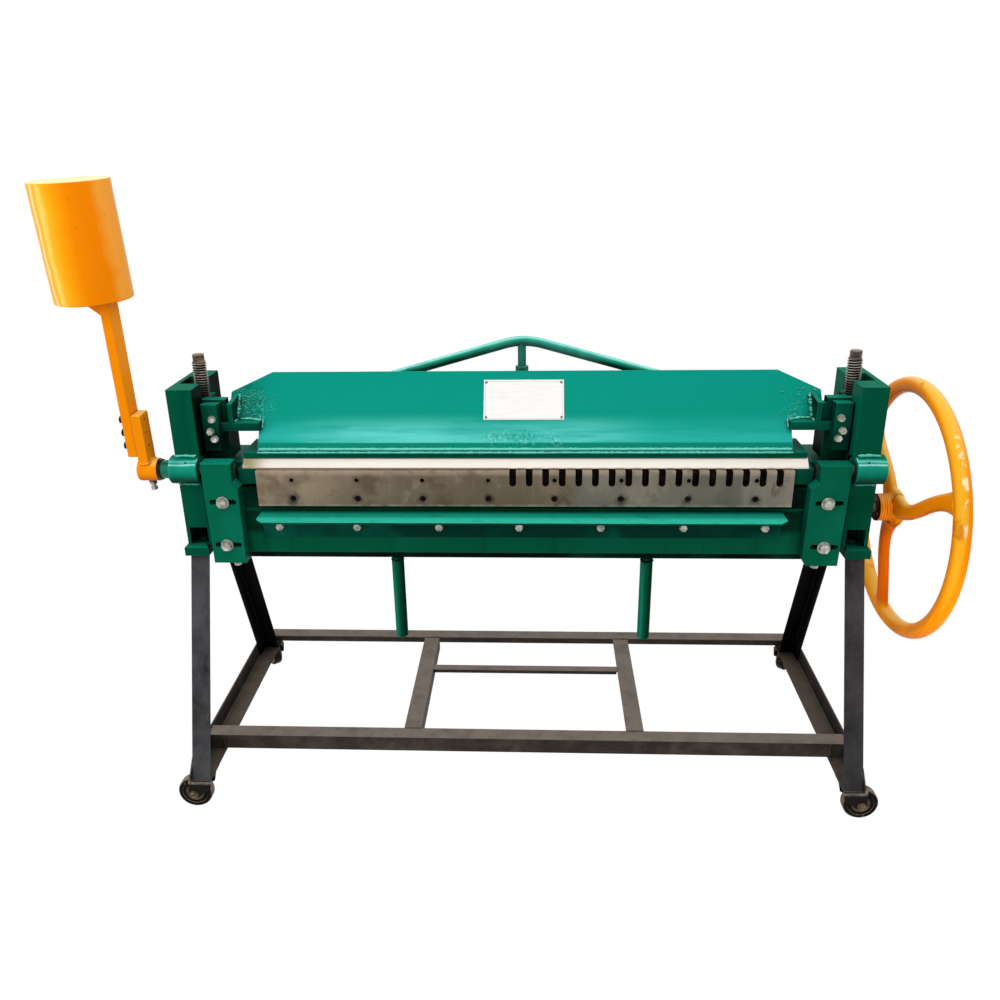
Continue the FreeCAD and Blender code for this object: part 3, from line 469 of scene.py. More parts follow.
def ground_strip():
    """Clamp strip: ground steel drawn lengthwise, tea-coloured stains near the left end, painted
    shade on its front face and in hollows.
    """
    g = Graph("Steel, ground and polished")
    fine = g.noise(1, 3, 0.6, vector=g.stretch((14, 900, 900)))
    color = g.ramp(fine, (0.3, "E8E0D7"), (0.55, "F3ECE4"), (0.75, "F8F4ED"))
    color = g.mix(g.span(g.noise(2.2, 3), 0.4, 0.7, 0, 0.6), color, "F8EEE4")
    # Painted shade on the face that looks forward
    front = g.span(g.facing("Y"), -0.5, -0.95)
    color = g.mix(g.times(front, 0.5), color, "E2D2C3")
    end = g.place("X", -590, -650)
    stain = g.span(g.noise(26, 5, vector=g.stretch((0.5, 1, 1))), 0.3, 0.56)
    color = g.mix(g.times(stain, g.math("ADD", g.times(end, 0.8), 0.05)), color, "8A7A3C")
    line = g.span(g.noise(1, 2, 0.5, vector=g.stretch((2.5, 2500, 2500))), 0.62, 0.7)
    color = g.mix(g.times(line, 0.3), color, "B9A996")
    # Painted shade in hollows
    color = g.mix(g.times(g.hollow(0.012, 0.2, 0.8), 0.7), color, "6B5A48")
    g.bump(fine, 0.00004)
    return g.set(color=color, metal=0.35, rough=g.span(fine, 0.3, 0.8, 0.32, 0.44),
                 normal=g.normal, aniso=0.4)


def stained_blade():
    """Bending blade: ground bar with brown stains, oil round the screws, a worn lighter band along
    the top, painted highlight on its edges, painted shade in hollows and a painted shadow under the
    strip.
    """
    g = Graph("Steel bar, ground, stained and oiled")
    broad = g.noise(5, 5, 0.6, warp=0.4, vector=g.stretch((1, 1, 0.5)))
    color = g.ramp(broad, (0.28, "54473A"), (0.45, "6C5E4E"), (0.6, "7B6C5B"), (0.78, "62543F"))
    cool = g.ramp(broad, (0.3, "565148"), (0.5, "777064"), (0.7, "8A8175"))
    color = g.mix(g.place("X", 110, 135), color, cool)
    color = g.mix(g.times(g.place("X", 505, 520), 0.45), color, "8B8478")
    color = g.mix(g.times(g.zone("X", -230, 20, 30), 0.35), color, "4A3D2C")
    warm = g.span(g.noise(13, 4, 0.6, warp=0.4), 0.38, 0.6, 0.1, 0.65)
    color = g.mix(g.times(g.place("X", -380, -520), warm), color, "A58F76")
    blotch = g.span(g.noise(22, 5, 0.6), 0.5, 0.62)
    color = g.mix(g.times(g.place("X", -540, -580), blotch, 0.6), color, "7A5F3C")
    upright = g.noise(1, 4, 0.65, vector=g.stretch((150, 20, 6)))
    color = g.mix(g.span(upright, 0.55, 0.8, 0, 0.35), color, "94897A")
    color = g.mix(g.span(upright, 0.4, 0.25, 0, 0.35), color, "382E20")
    blot = g.noise(11, 5, 0.6, warp=0.6, vector=g.stretch((1, 1, 0.8), move=(0.2, 0, 0.3)))
    color = g.mix(g.span(blot, 0.55, 0.68, 0, 0.65), color, "493A28")
    color = g.mix(g.span(blot, 0.42, 0.3, 0, 0.5), color, "9A8B78")
    # Oil and rust round the lower screws and, fainter, round the upper holes
    pitch = 0.1545
    turn = g.math("DIVIDE", g.off("X", ORIGIN.x - 8 * pitch), pitch)
    across = g.times(g.math("SUBTRACT", g.math("FRACT", turn), 0.5), pitch)
    wander = g.sway(0.05, 34, 4, 0.6)
    for height, reach, depth in ((-69, 0.019, 0.7), (-23, 0.012, 0.2)):
        far = g.radius(across, g.off("Z", ORIGIN.z + height * MM))
        stained = g.span(g.math("ADD", far, wander), reach, 0.003, 0, depth)
        color = g.mix(stained, color, "2A2015")
        color = g.mix(g.span(far, 0.0086, 0.0074, 0, depth), color, "0A0806")
    rust = g.span(g.noise(60, 6, 0.68, warp=0.8), 0.6, 0.72)
    color = g.mix(g.times(rust, 0.5), color, "6A4526")
    tabs = g.times(g.place("Z", -16, -2), g.span(g.noise(40, 4), 0.3, 0.6, 0.1, 0.55))
    color = g.mix(tabs, color, "B8A38C")
    foot = g.times(g.place("Z", -80, -87), g.span(g.noise(25, 4), 0.35, 0.6))
    color = g.mix(g.times(foot, 0.6), color, "A89C8C")
    # Painted shade in hollows
    crevice_shade = g.hollow(0.012, 0.3, 0.85)
    color = g.mix(g.times(crevice_shade, 0.8), color, "15110C")
    # Painted shadow: a black line just under the clamp strip
    inside = g.span(g.facing("Y"), -0.75, -0.35)
    color = g.mix(g.times(inside, g.place("Z", -1.5, -4), 0.9), color, "0B0906")
    # Painted highlight on open edges
    crest_highlight = g.times(g.edges(0.0012, 0.03, 0.2), g.less(crevice_shade))
    color = g.mix(g.times(crest_highlight, 0.6), color, "CDBDA8")
    g.bump(upright, 0.00008)
    g.bump(g.noise(210, 4, 0.6), 0.00005)
    return g.set(color=color, metal=g.span(broad, 0.3, 0.7, 0.3, 0.5),
                 rough=g.span(g.noise(30, 4), 0.3, 0.7, 0.36, 0.56), normal=g.normal, spec=0.3)


def machined(name, base, light, dark, rough, metal, scale=60, grime_and_shade="15120D", tone=None,
             spec=0.5):
    """Turned or plated steel with fine marks, painted light on faces that look up, painted shade on
    faces that look down, dirt and painted shade in corners, painted highlight on the edges.
    """
    g = Graph(name)
    color = g.ramp(g.noise(scale, 5, 0.6), (0.3, dark), (0.5, base), (0.72, light))
    # Painted shade on faces that look down, painted light on faces that look up
    color = g.mix(g.span(g.facing("Z"), 0.1, -0.9, 0, 0.75), color, dark)
    color = g.mix(g.span(g.facing("Z"), 0.3, 0.95, 0, 0.5), color, light)
    if tone:
        color = tone(g, color)
    # Dirt and painted shade in corners, painted highlight on open edges
    corner_shade = g.hollow(0.008, 0.3, 0.85)
    color = g.mix(g.times(corner_shade, 0.8), color, grime_and_shade)
    color = g.mix(g.times(g.edges(0.0008, 0.03, 0.2), g.less(corner_shade), 0.5), color, light)
    g.bump(g.noise(scale * 9, 3), 0.00003)
    shine = g.span(g.noise(scale * 2, 3), 0.3, 0.7, rough - 0.08, rough + 0.1)
    return g.set(color=color, metal=metal, rough=shine, normal=g.normal, spec=spec)


def thread_tone(g, color):
    """Thread: worn crests with a painted highlight, black grease on its roots, and grease with
    painted shade all over inside the column.
    """
    centre = middle("lead_screw_right")
    off_x = g.math("SUBTRACT", g.apart(g.axis("X"), ORIGIN.x), centre.x - ORIGIN.x)
    away = g.radius(off_x, g.off("Y", centre.y))
    # Worn crests with a painted highlight
    worn = g.span(g.noise(50, 3), 0.35, 0.6, 0.5, 1.0)
    crest_highlight = g.times(g.span(away, 0.0156, 0.0166), worn)
    color = g.mix(crest_highlight, "080605", "D2C9BA")
    # Grease and painted shade inside the column
    return g.mix(g.times(g.place("Z", 200, 176), 0.85), color, "060504")


def fork_tone(g, color):
    """Caster forks: grey dust on the crown and the upper edge, darker below."""
    dust = g.ramp(g.noise(70, 5, 0.6), (0.3, "4A443D"), (0.5, "7F776E"), (0.72, "A39C93"))
    color = g.mix(g.place("Z", -769, -776), color, "120D0A")
    lay = g.span(g.noise(45, 4), 0.25, 0.5, 0.4, 0.95)
    return g.mix(g.times(g.place("Z", -776, -768), lay), color, dust)


def collar_tone(g, color):
    """Left hinge shaft: a black ring beside the counterweight's hub and a green painted collar."""
    color = g.mix(g.place("X", -848.4, -849.6), color, "050606")
    return g.mix(g.zone("X", -848.8, -826, 0.5), color, "0A6A52")


def leg_paint(name, base, light, dark):
    """Thin grey primer on rolled angle: scale shows through, rub marks on the corners, painted
    shade on the sides and in hollows.
    """
    g = Graph(name)
    cloud = g.noise(9, 5, 0.6)
    color = g.ramp(cloud, (0.3, dark), (0.52, base), (0.75, light))
    # Painted shade on the sides
    color = g.mix(g.span(g.math("ABSOLUTE", g.facing("X")), 0.5, 0.95, 0, 0.8), color, dark)
    run = g.noise(1, 4, vector=g.stretch((95, 95, 6)))
    color = g.mix(g.span(run, 0.5, 0.72, 0, 0.35), color, light)
    # Painted shade in hollows
    corner_shade = g.hollow(0.04, 0.2, 0.8)
    color = g.mix(g.times(corner_shade, 0.6), color, dark)
    color = g.mix(g.times(g.edges(0.0018), g.less(corner_shade), 0.35), color, light)
    rust = g.span(g.noise(85, 5, 0.7), 0.64, 0.7)
    color = g.mix(g.times(rust, 0.4), color, "4E3524")
    g.bump(g.noise(260, 4), 0.00007)
    return g.set(color=color, rough=g.span(cloud, 0.3, 0.7, 0.45, 0.62), normal=g.normal,
                 spec=0.04)


def mill_scale(name, base, light, dark, dust):
    """Rolled angle with mill scale, fine rust and dust lying on the upper faces, painted shade in
    hollows.
    """
    g = Graph(name)
    cloud = g.noise(14, 6, 0.65, warp=0.3)
    color = g.ramp(cloud, (0.3, dark), (0.5, base), (0.72, light))
    grain = g.noise(1, 5, 0.6, vector=g.stretch((9, 9, 220)))
    color = g.mix(g.span(grain, 0.5, 0.75, 0, 0.4), color, light)
    up = g.span(g.facing("Z"), 0.4, 0.95)
    lay = g.times(up, g.span(g.noise(22, 5, 0.6), 0.2, 0.62, 0.6, 1.0))
    color = g.mix(lay, color, dust)
    drawn = g.noise(1, 5, 0.6, vector=g.stretch((7, 7, 160)))
    color = g.mix(g.span(drawn, 0.55, 0.8, 0, 0.35), color, dark)
    rust = g.span(g.noise(48, 6, 0.7, warp=0.5), 0.56, 0.72)
    color = g.mix(g.times(rust, 0.45), color, "5B3A26")
    # Painted shade in hollows
    corner_shade = g.hollow(0.03, 0.2, 0.8)
    color = g.mix(g.times(corner_shade, 0.6), color, "15100C")
    color = g.mix(g.times(g.edges(0.0018), g.less(corner_shade), 0.35), color, light)
    g.bump(g.noise(190, 5, 0.6), 0.00012)
    g.bump(rust, 0.0001)
    return g.set(color=color, rough=g.span(cloud, 0.3, 0.7, 0.55, 0.75), normal=g.normal,
                 spec=0.15)


def bare_plate():
    """Name plate: bare satin anodised sheet with a thin ruled border and four rivets."""
    g = Graph("Aluminium sheet, satin anodised")
    brush = g.noise(1, 3, vector=g.stretch((18, 700, 700)))
    color = g.ramp(brush, (0.3, "E0DEDB"), (0.55, "EBE9E6"), (0.8, "F2F0ED"))
    color = g.mix(g.span(g.noise(46, 5), 0.6, 0.78, 0, 0.2), color, "C9C6BD")
    plate_low, plate_high = (Vector(v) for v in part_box("name_plate"))
    centre, half = (plate_low + plate_high) / 2, (plate_high - plate_low) / 2
    away_x, away_z = g.apart(g.axis("X"), centre.x), g.apart(g.axis("Z"), centre.z)
    rule_x, rule_z = half.x - 0.0045, half.z - 0.0036
    thick_x, thick_z = 0.0006, 0.0005
    line_x = g.math("LESS_THAN", g.apart(away_x, rule_x), thick_x)
    line_z = g.math("LESS_THAN", g.apart(away_z, rule_z), thick_z)
    inside = g.times(g.math("LESS_THAN", away_x, rule_x + thick_x),
                     g.math("LESS_THAN", away_z, rule_z + thick_z))
    color = g.mix(g.times(g.math("MAXIMUM", line_x, line_z), inside, 0.5), color, "7E8A88")
    # Painted shade on the sheet's edges
    color = g.mix(g.times(g.edges(0.0008), 0.6), color, "6F8F88")
    rivet = g.radius(g.math("SUBTRACT", away_x, 0.089), g.math("SUBTRACT", away_z, half.z - 0.0054))
    color = g.mix(g.span(rivet, 0.0036, 0.003, 0, 0.8), color, "4E5C59")
    g.bump(brush, 0.00002)
    return g.set(color=color, metal=0.2, rough=0.4, normal=g.normal)


def tyre():
    """Solid tyre: tan dust on the tread, dark dirty sides."""
    g = Graph("Rubber tyre, worn and dusty")
    grit = g.noise(75, 6, 0.7)
    color = g.ramp(grit, (0.3, "0B0807"), (0.55, "17110E"), (0.78, "2E261F"))
    tread = g.span(g.math("ABSOLUTE", g.facing("Y")), 0.8, 0.4)
    tread = g.times(tread, g.less(g.hollow(0.01, 0.3, 0.9)))
    color = g.mix(g.times(tread, g.span(g.noise(40, 5), 0.3, 0.6, 0.6, 1.0)), color, "8A7C70")
    color = g.mix(g.span(g.noise(60, 4, 0.6), 0.62, 0.7, 0, 0.6), color, "7A6A55")
    color = g.mix(g.times(g.edges(0.0015), 0.4), color, "6D6055")
    g.bump(grit, 0.0003)
    return g.set(color=color, rough=g.span(grit, 0.3, 0.7, 0.62, 0.82), normal=g.normal,
                 spec=0.06)


# Materials. The name says what it is made of and how it was finished, and where shade is painted in
# Enamel colours: front; painted light on faces that look up; painted shade on sides, below and in
# corners; painted highlight on edges
green_column = enamel("Green enamel, sprayed", "02523A", "0B7459", "012618", over=column_tone,
                      seed=0.4, rough=0.45, spec=0.008)[1]
green_slide = enamel("Green enamel, sprayed, slides", "024A36", "118268", "01241A",
                     tone=slide_tone, rough=0.45, seed=2.4, spec=0.008)[1]
green_bed = enamel("Green enamel, sprayed, bed", "024C38", "06705A", "01261A", over=bed_tone,
                   seed=1.1)[1]
# Painted light and shade of the bosses, with bands of painted highlight
boss_light_stops = ((0.08, "012A1E"), (0.26, "03513C"), (0.45, "0A7A62"), (0.64, "128C74"),
              (0.76, "17957D"), (0.8, "A0EFE4"), (0.84, "168F78"), (0.9, "66D6C6"),
              (0.94, "0E7F68"), (1.0, "0B7059"))
green_boss = enamel("Green enamel, sprayed on round bosses", "087A60", "2BB099", "02382A", "7FE0CC",
                    rough=0.22, seed=1.9, tone=by_slope(*boss_light_stops))[1]
green_leaf = enamel("Green enamel, sprayed, leaf", "035A3E", "0D705A", "01301F", tone=leaf_tone,
                    seed=3.1)[1]
green_angle = enamel("Green enamel, sprayed, stiffening angle", "01382A", "189C82", "023825",
                     "7FE3D0", rough=0.22, seed=4.3, tone=angle_tone)[1]
green_arm = enamel("Green enamel, sprayed, hinge arms", "036649", "0E8A70", "02402C",
                   tone=arm_tone, seed=1.7)[1]
green_handle = enamel("Green enamel, sprayed, handles", "044E37", "044E37", "013323", rough=0.24,
                      seed=2.0, tone=handle_tone)[1]
# Painted light and shade of the truss tube, with bands of painted highlight
tube_light_stops = ((0.1, "011F15"), (0.44, "01301F"), (0.58, "0B6C54"), (0.76, "178C74"),
              (0.86, "62CDBB"), (0.93, "A6F0E4"), (1.0, "3DB8A2"))
green_tube = enamel("Green enamel, sprayed tube", "118068", "66CFBC", "034232", "8AE0D0",
                    rough=0.2, seed=2.2, spec=0.03, tone=by_slope(*tube_light_stops))[1]
green_weld = enamel("Green enamel over weld", "0E9A83", "74DCCD", "045E4A", "C5F5EC", rough=0.14,
                    seed=5.0, spec=0.3)[1]
green_drops = enamel("Green enamel over weld spatter", "1BA58F", "7CDFD0", "045E4A", "A8EFE2",
                     rough=0.14, spec=0.15)[1]
green_face = face_enamel()
orange_enamel = orange("Orange enamel, sprayed")
orange_weight = orange("Orange enamel, sprayed on rolled plate", tone=weight_tone)
orange_wheel = orange("Orange enamel, sprayed on casting", tone=wheel_tone)
zinc = machined("Steel, zinc plated", "A7A99F", "E2E2DA", "5F5C50", 0.3, 0.6, grime_and_shade="3A3222")
black_oxide = machined("Steel, black oxide", "070707", "1C1C1D", "030303", 0.5, 0.0, spec=0.08)
greased = machined("Steel, threaded and greased", "16130F", "6A6355", "060504", 0.3, 0.3,
                   scale=90, grime_and_shade="050403", tone=thread_tone, spec=0.2)
brown_end = machined("Steel, turned, heat tinted", "3B3022", "8E7A58", "110C07", 0.34, 0.3)
turned = machined("Steel, turned", "4A453E", "8C867B", "211E1A", 0.36, 0.6, tone=collar_tone)
# One primer in three copies: the front right leg's darker copy and the rear legs' near black copy
# are painted shade
leg_front = leg_paint("Grey primer on rolled steel", "484749", "58575A", "2A292B")
leg_shaded = leg_paint("Grey primer on rolled steel, darker with painted shade", "373536", "464446", "1E1C1D")
leg_rear = leg_paint("Grey primer on rolled steel, rear, black with painted shade", "030303", "0C0C0C", "010101")
rail_scale = mill_scale("Rolled angle, mill scale and light rust", "352D28", "53483F", "1C1713",
                        "7A7067")
# The side rails' darker copy is painted shade
side_scale = mill_scale("Rolled angle, mill scale, dark with painted shade", "191512", "332B25", "0A0807", "5E544A")
name_metal = bare_plate()
strip_metal = ground_strip()
blade_metal = stained_blade()
tyre_rubber = tyre()
fork_metal = machined("Pressed steel, oily and dirty", "1B1713", "453E35", "080605", 0.55, 0.1,
                      scale=40, tone=fork_tone, spec=0.1)
nut_metal = machined("Steel, yellow passivated, dirty", "5A4A26", "A08A50", "1A1308", 0.4, 0.3,
                     scale=120)
hub_metal = machined("Hub casting, brassy with dirt", "4A3E28", "9C8A5C", "14100A", 0.45, 0.4,
                     scale=70)


# Dressing the CAD nodes
def dress(names, material, bevel, segments=2):
    """Give CAD nodes a material, clean flats, softened edges and smooth shading."""
    for name in names:
        o = NODES[name]
        o.data.materials.clear()
        o.data.materials.append(material)
        for p in o.data.polygons:
            p.use_smooth = True
        weld = o.modifiers.new("weld", "WELD")
        weld.merge_threshold = 0.00002
        flat = o.modifiers.new("flats", "DECIMATE")
        flat.decimate_type = "DISSOLVE"
        flat.angle_limit = math.radians(0.4)
        if bevel:
            b = o.modifiers.new("edges", "BEVEL")
            b.width = bevel
            b.segments = segments
            b.limit_method = "ANGLE"
            b.angle_limit = math.radians(32)
        w = o.modifiers.new("shading", "WEIGHTED_NORMAL")
        w.keep_sharp = True


dress(["column_left", "column_right"], green_column, 0.0012)
dress(["foot_bolts"], green_slide, 0.0009)
dress(["hinge_boss_left", "hinge_boss_right"], green_boss, 0.001)
dress(["slide_left", "slide_right", "slide_cover_left", "slide_cover_right", "shaft_bearing"],
      green_slide, 0.001)
dress(["bed", "beam_base"], green_bed, 0.001)
dress(["beam_face"], green_face, 0.0012)
dress(["leaf_plate"], green_leaf, 0.001)
dress(["leaf_angle"], green_angle, 0.0014, 3)
dress(["hinge_arm_left", "hinge_arm_right"], green_arm, 0.0012)
dress(["leaf_handle_left", "leaf_handle_right"], green_handle, 0)
dress(["truss"], green_tube, 0.0006)
dress(["weight_hub", "weight_arm"], orange_enamel, 0.001)
dress(["weight"], orange_weight, 0.001)
dress(["handwheel"], orange_wheel, 0)
dress(["leg_front_left"], leg_front, 0.0012)
dress(["leg_front_right"], leg_shaded, 0.0012)
dress(["leg_rear_left", "leg_rear_right"], leg_rear, 0.0012)
dress(["side_rail_left", "side_rail_right"], side_scale, 0.001)
dress(["rail_front", "rail_rear", "cross_bar_left", "cross_bar_right", "middle_bar"], rail_scale,
      0.0012)
dress(["blade"], blade_metal, 0.0007)
dress(["clamp_strip"], strip_metal, 0.0006)
dress(["cross_shaft", "shaft_gear_left", "shaft_gear_right",
       "hinge_shaft_left", "hinge_shaft_right"], turned, 0.0005)
dress(["cover_bolts", "leaf_angle_bolts", "hinge_arm_bolts", "arm_stop_screws", "weight_hub_screw"],
      zinc, 0.0009)
dress(["weight_arm_bolts", "blade_screws"], black_oxide, 0.0006)
dress(["name_plate"], name_metal, 0.0003)
ENDS = ["%s_%s" % (end, hand) for end in ("front", "rear") for hand in ("left", "right")]
dress(["caster_fork_" + end for end in ENDS], fork_metal, 0.0005)
dress(["caster_wheel_" + end for end in ENDS], tyre_rubber, 0.001)


# Making new pieces
def finish_piece(bm, name, material, body, nodes=(), sharp=35):
    """Turn a bmesh into a piece that rides on a body, in place of the named nodes if any."""
    bmesh.ops.recalc_face_normals(bm, faces=bm.faces)
    data = bpy.data.meshes.new(name)
    bm.to_mesh(data)
    bm.free()
    data.materials.append(material)
    for p in data.polygons:
        p.use_smooth = True
    data.set_sharp_from_angle(angle=math.radians(sharp))
    o = bpy.data.objects.new(name, data)
    bpy.context.scene.collection.objects.link(o)
    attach(o, body)
    if nodes:
        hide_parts(*nodes)


def join_points(bm, reach=0.00001):
    """Join points that lie on each other."""
    bmesh.ops.remove_doubles(bm, verts=bm.verts, dist=reach)


def cut_off(bm, level, up):
    """Cut away what lies past a height about the bend line; returns the cut's geometry."""
    everything = bm.verts[:] + bm.edges[:] + bm.faces[:]
    cut = bmesh.ops.bisect_plane(bm, geom=everything, dist=0.000001, clear_outer=True,
                                 plane_co=(0, 0, ORIGIN.z + level), plane_no=(0, 0, up))
    return cut["geom_cut"]


# Weld beads: millimetres between two points of a run, and points in one ripple and one swelling
BEAD_STEP = 1.6
RIPPLE = 3
SWELLING = 4


def bead(name, paths, radius, body, uneven, material=green_weld, seed=1):
    """Runs of weld along polylines in millimetres: overlapping ripples and an uneven width."""
    rnd = random.Random(seed)
    data = bpy.data.curves.new(name, "CURVE")
    data.dimensions = "3D"
    data.bevel_depth = radius * MM
    data.bevel_resolution = 1
    data.use_fill_caps = True
    for path in paths:
        spots = []
        for a, b in zip(path, path[1:]):
            a, b = Vector(a), Vector(b)
            steps = max(2, round((b - a).length / BEAD_STEP))
            spots += [a.lerp(b, k / steps) for k in range(steps)]
        spots.append(Vector(path[-1]))
        line = data.splines.new("POLY")
        line.points.add(len(spots) - 1)
        lump = 1.0
        for k, (point, spot) in enumerate(zip(line.points, spots)):
            if k % SWELLING == 0:
                lump = 1 + rnd.uniform(-1, 1) * uneven * 2
            shake = Vector([rnd.uniform(-1, 1) * radius * uneven for _ in range(3)])
            point.co = (*P(*(spot + shake)), 1)
            tip = min(1.0, 0.55 + 0.25 * min(k, len(spots) - 1 - k))
            point.radius = tip * lump * (1 + 0.14 * abs(math.sin(math.pi * k / RIPPLE)))
    data.materials.append(material)
    o = bpy.data.objects.new(name, data)
    bpy.context.scene.collection.objects.link(o)
    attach(o, body)


# The leaning face's front surface: lower edge, run and rise to its top, normal, degrees of lean
FACE_FOOT_Y, FACE_FOOT_Z = 18, 36
FACE_RUN, FACE_RISE = 112, 164
FACE_OUT_Y, FACE_OUT_Z = -0.826, 0.564
FACE_TURN = -55.6
WEBS = ((1, 684), (-1, 689.5))      # side and distance of the webs behind the face's ends


def on_face(x, z, out=0.0):
    """Point on the leaning face's front surface at height z, moved out along its normal."""
    y = FACE_FOOT_Y + (z - FACE_FOOT_Z) * FACE_RUN / FACE_RISE
    return (x, y + out * FACE_OUT_Y, z + out * FACE_OUT_Z)


def both(path):
    """A run on the right and its mirror image on the left."""
    return [path, [(-x, y, z) for x, y, z in path]]


# Welds of the beam: along the face's foot, round the brackets and up the webs
bead("weld_face_foot", [[on_face(-624, 41, -2.6), on_face(624, 41, -2.6)]], 5.2, "beam", 0.05,
     seed=3)
bead("weld_face_toe", [[(-624, 14.0, 35.6), (624, 14.0, 35.6)]], 2.7, "beam", 0.12, green_drops,
     seed=4)
bead("weld_brackets", both([(618, 50, 104), (645, 62, 104.5), (672, 62, 104.5)])
     + both([on_face(617, 83, 1), on_face(617, 103, 1)]), 3.6, "beam", 0.14, seed=5)
bead("weld_webs", [[(side * (web - 11), on_face(0, z)[1] - 1, z) for z in (105, 118, 131, 145, 155)]
                   for side, web in WEBS], 5.2, "beam", 0.2, seed=6)
bead("weld_web_feet", [[(side * (web - 12), 40, 104), (side * (web - 12), 58, 104)]
                       for side, web in WEBS], 3.4, "beam", 0.15, seed=7)

# Welds of the frame: bosses on the columns, foot flanges, legs and rails
bead("weld_bosses", both([(762, -9, 35), (788, -9, 36), (813, -9, 35)])
     + both([(762, -8, -34), (813, -8, -34)]), 4.2, "frame", 0.1, seed=8)
bead("weld_column_feet", both([(762, -8, -193), (813, -8, -193)]), 2.2, "frame", 0.1,
     green_column, seed=9)
bead("weld_leg_tops", both([(770, -5, -219), (810, -5, -219)]), 2.4, "frame", 0.12, leg_front,
     seed=10)
bead("weld_rail_legs", both([(768, -77, -701.5), (768, -77, -741)]), 2.6, "frame", 0.15,
     rail_scale, seed=11)
bead("weld_cross_bars", [[(x, y, -701.5), (x - 44, y, -701.5)]
                         for y in (-34.5, 412.5) for x in (-262, 310)], 2.0, "frame", 0.15,
     rail_scale, seed=12)

# Welds of the leaf: the counterweight's lapped arm on its hub, the handles under the leaf
bead("weld_weight_hub", [[(-896, -22, 22), (-885, -23.5, 19), (-873, -22, 22)],
                         [(-872.5, -22, 22), (-872.5, 0, 28), (-872.5, 22, 22)]], 2.6, "leaf",
     0.14, orange_enamel, seed=13)
half_circle = [math.radians(d) for d in range(180, 361, 30)]
bead("weld_handles", [[(x + 15 * math.cos(a), 8 + 15 * math.sin(a), -235) for a in half_circle]
                      for x in (-304, 301)], 2.0, "leaf", 0.12, green_leaf, seed=14)


def spatter():
    """Small drops of weld under the paint, near both ends of the leaning face."""
    drops, drops_left = 330, 230
    rnd = random.Random(21)
    turn = Matrix.Rotation(math.radians(FACE_TURN), 4, "X")
    bm = bmesh.new()
    for k in range(drops):
        x = (-1 if k < drops_left else 1) * (688 - abs(rnd.gauss(0, 38)))
        z = rnd.uniform(92, 166)
        size = rnd.uniform(0.7, 2.4)
        past_corner = abs(x) > 699 - max(0, z - 161) * 2.3 - 3
        if past_corner or (abs(x) > 670 and z < 108):
            continue
        long, wide, high = size * rnd.uniform(1.0, 2.4), size * rnd.uniform(0.8, 1.8), size * 0.45
        place = (Matrix.Translation(P(*on_face(x, z, 0.1))) @ turn
                 @ Matrix.Diagonal((long * MM, wide * MM, high * MM, 1)))
        bmesh.ops.create_icosphere(bm, subdivisions=1, radius=1.0, matrix=place)
    finish_piece(bm, "weld_spatter", green_drops, "beam", sharp=80)


# Outlines of turned parts: radius and distance along the axis, in millimetres
SCREW_END = ((0.0, 257), (12.2, 257), (13.6, 255.4), (13.6, 241), (15.2, 239.2), (15.2, 236.8),
             (0.0, 236.8))
HUB_CAP = ((15.2, 10.2), (21.5, 10.2), (22.5, 11.4), (22.5, 12.6), (21.5, 13.2), (19.5, 13.2),
           (18.5, 12.2), (15.2, 11.6))
BEARING_RING = ((5.2, 14.4), (11, 14.4), (12.4, 15.4), (12.4, 16.0), (11, 16.3), (5.2, 16.3))
AXLE_NUT = ((10.4, 19.5), (10.4, 20.6), (8.0, 20.8), (7.8, 24.2), (6.6, 25.4), (3.4, 25.8),
            (2.6, 24.8), (0.0, 24.8))
REAR_SWIVEL = 50    # degrees that the rear casters are turned by


def thread(node, body, hand):
    """Lead screw: helical thread with a plain heat-tinted end, on the node's journal and gear."""
    centre = middle(node)
    major, minor, pitch = 0.017, 0.0139, 0.006
    top, foot, steps = 0.238, -0.057, 20
    bm = bmesh.new()
    outline = [(minor, 0.0), (minor, 0.0008), (major, 0.0026), (major, 0.0034), (minor, 0.0052),
               (minor, pitch)]
    rows = [bm.verts.new((centre.x + r, centre.y, ORIGIN.z + foot - pitch + h)) for r, h in outline]
    profile = [bm.edges.new(pair) for pair in zip(rows, rows[1:])]
    turns = math.ceil((top - foot) / pitch) + 2
    bmesh.ops.spin(bm, geom=rows + profile, cent=centre, axis=(0, 0, hand),
                   dvec=(0, 0, pitch / steps), angle=2 * math.pi * turns, steps=steps * turns)
    join_points(bm, 0.00002)
    for level, up in ((top, 1), (foot, -1)):
        rim = [e for e in cut_off(bm, level, up) if isinstance(e, bmesh.types.BMEdge)]
        bmesh.ops.edgenet_fill(bm, edges=rim)
    finish_piece(bm, node.replace("lead_", "threaded_"), greased, body, [node],
                 sharp=25)
    bm = bmesh.new()
    bm.from_mesh(NODES[node].data)
    join_points(bm, 0.00002)
    cut_off(bm, foot, 1)
    finish_piece(bm, node.replace("lead_screw", "screw_journal"), turned, body,
                 [node])
    bm = bmesh.new()
    lathe(bm, Vector((centre.x, centre.y, ORIGIN.z)), Vector((0, 0, 1)), Vector((1, 0, 0)),
          SCREW_END, 40)
    join_points(bm)
    finish_piece(bm, node.replace("lead_screw", "screw_end"), brown_end, body,
                 [node], sharp=30)


def lathe(bm, centre, axis, out, profile, steps):
    """Spin an outline round an axis; out is the way to its first points."""
    rows = [bm.verts.new(centre + out * r * MM + axis * h * MM) for r, h in profile]
    edges = [bm.edges.new(pair) for pair in zip(rows, rows[1:])]
    bmesh.ops.spin(bm, geom=rows + edges, cent=centre, axis=axis, angle=2 * math.pi, steps=steps,
                   use_merge=True)


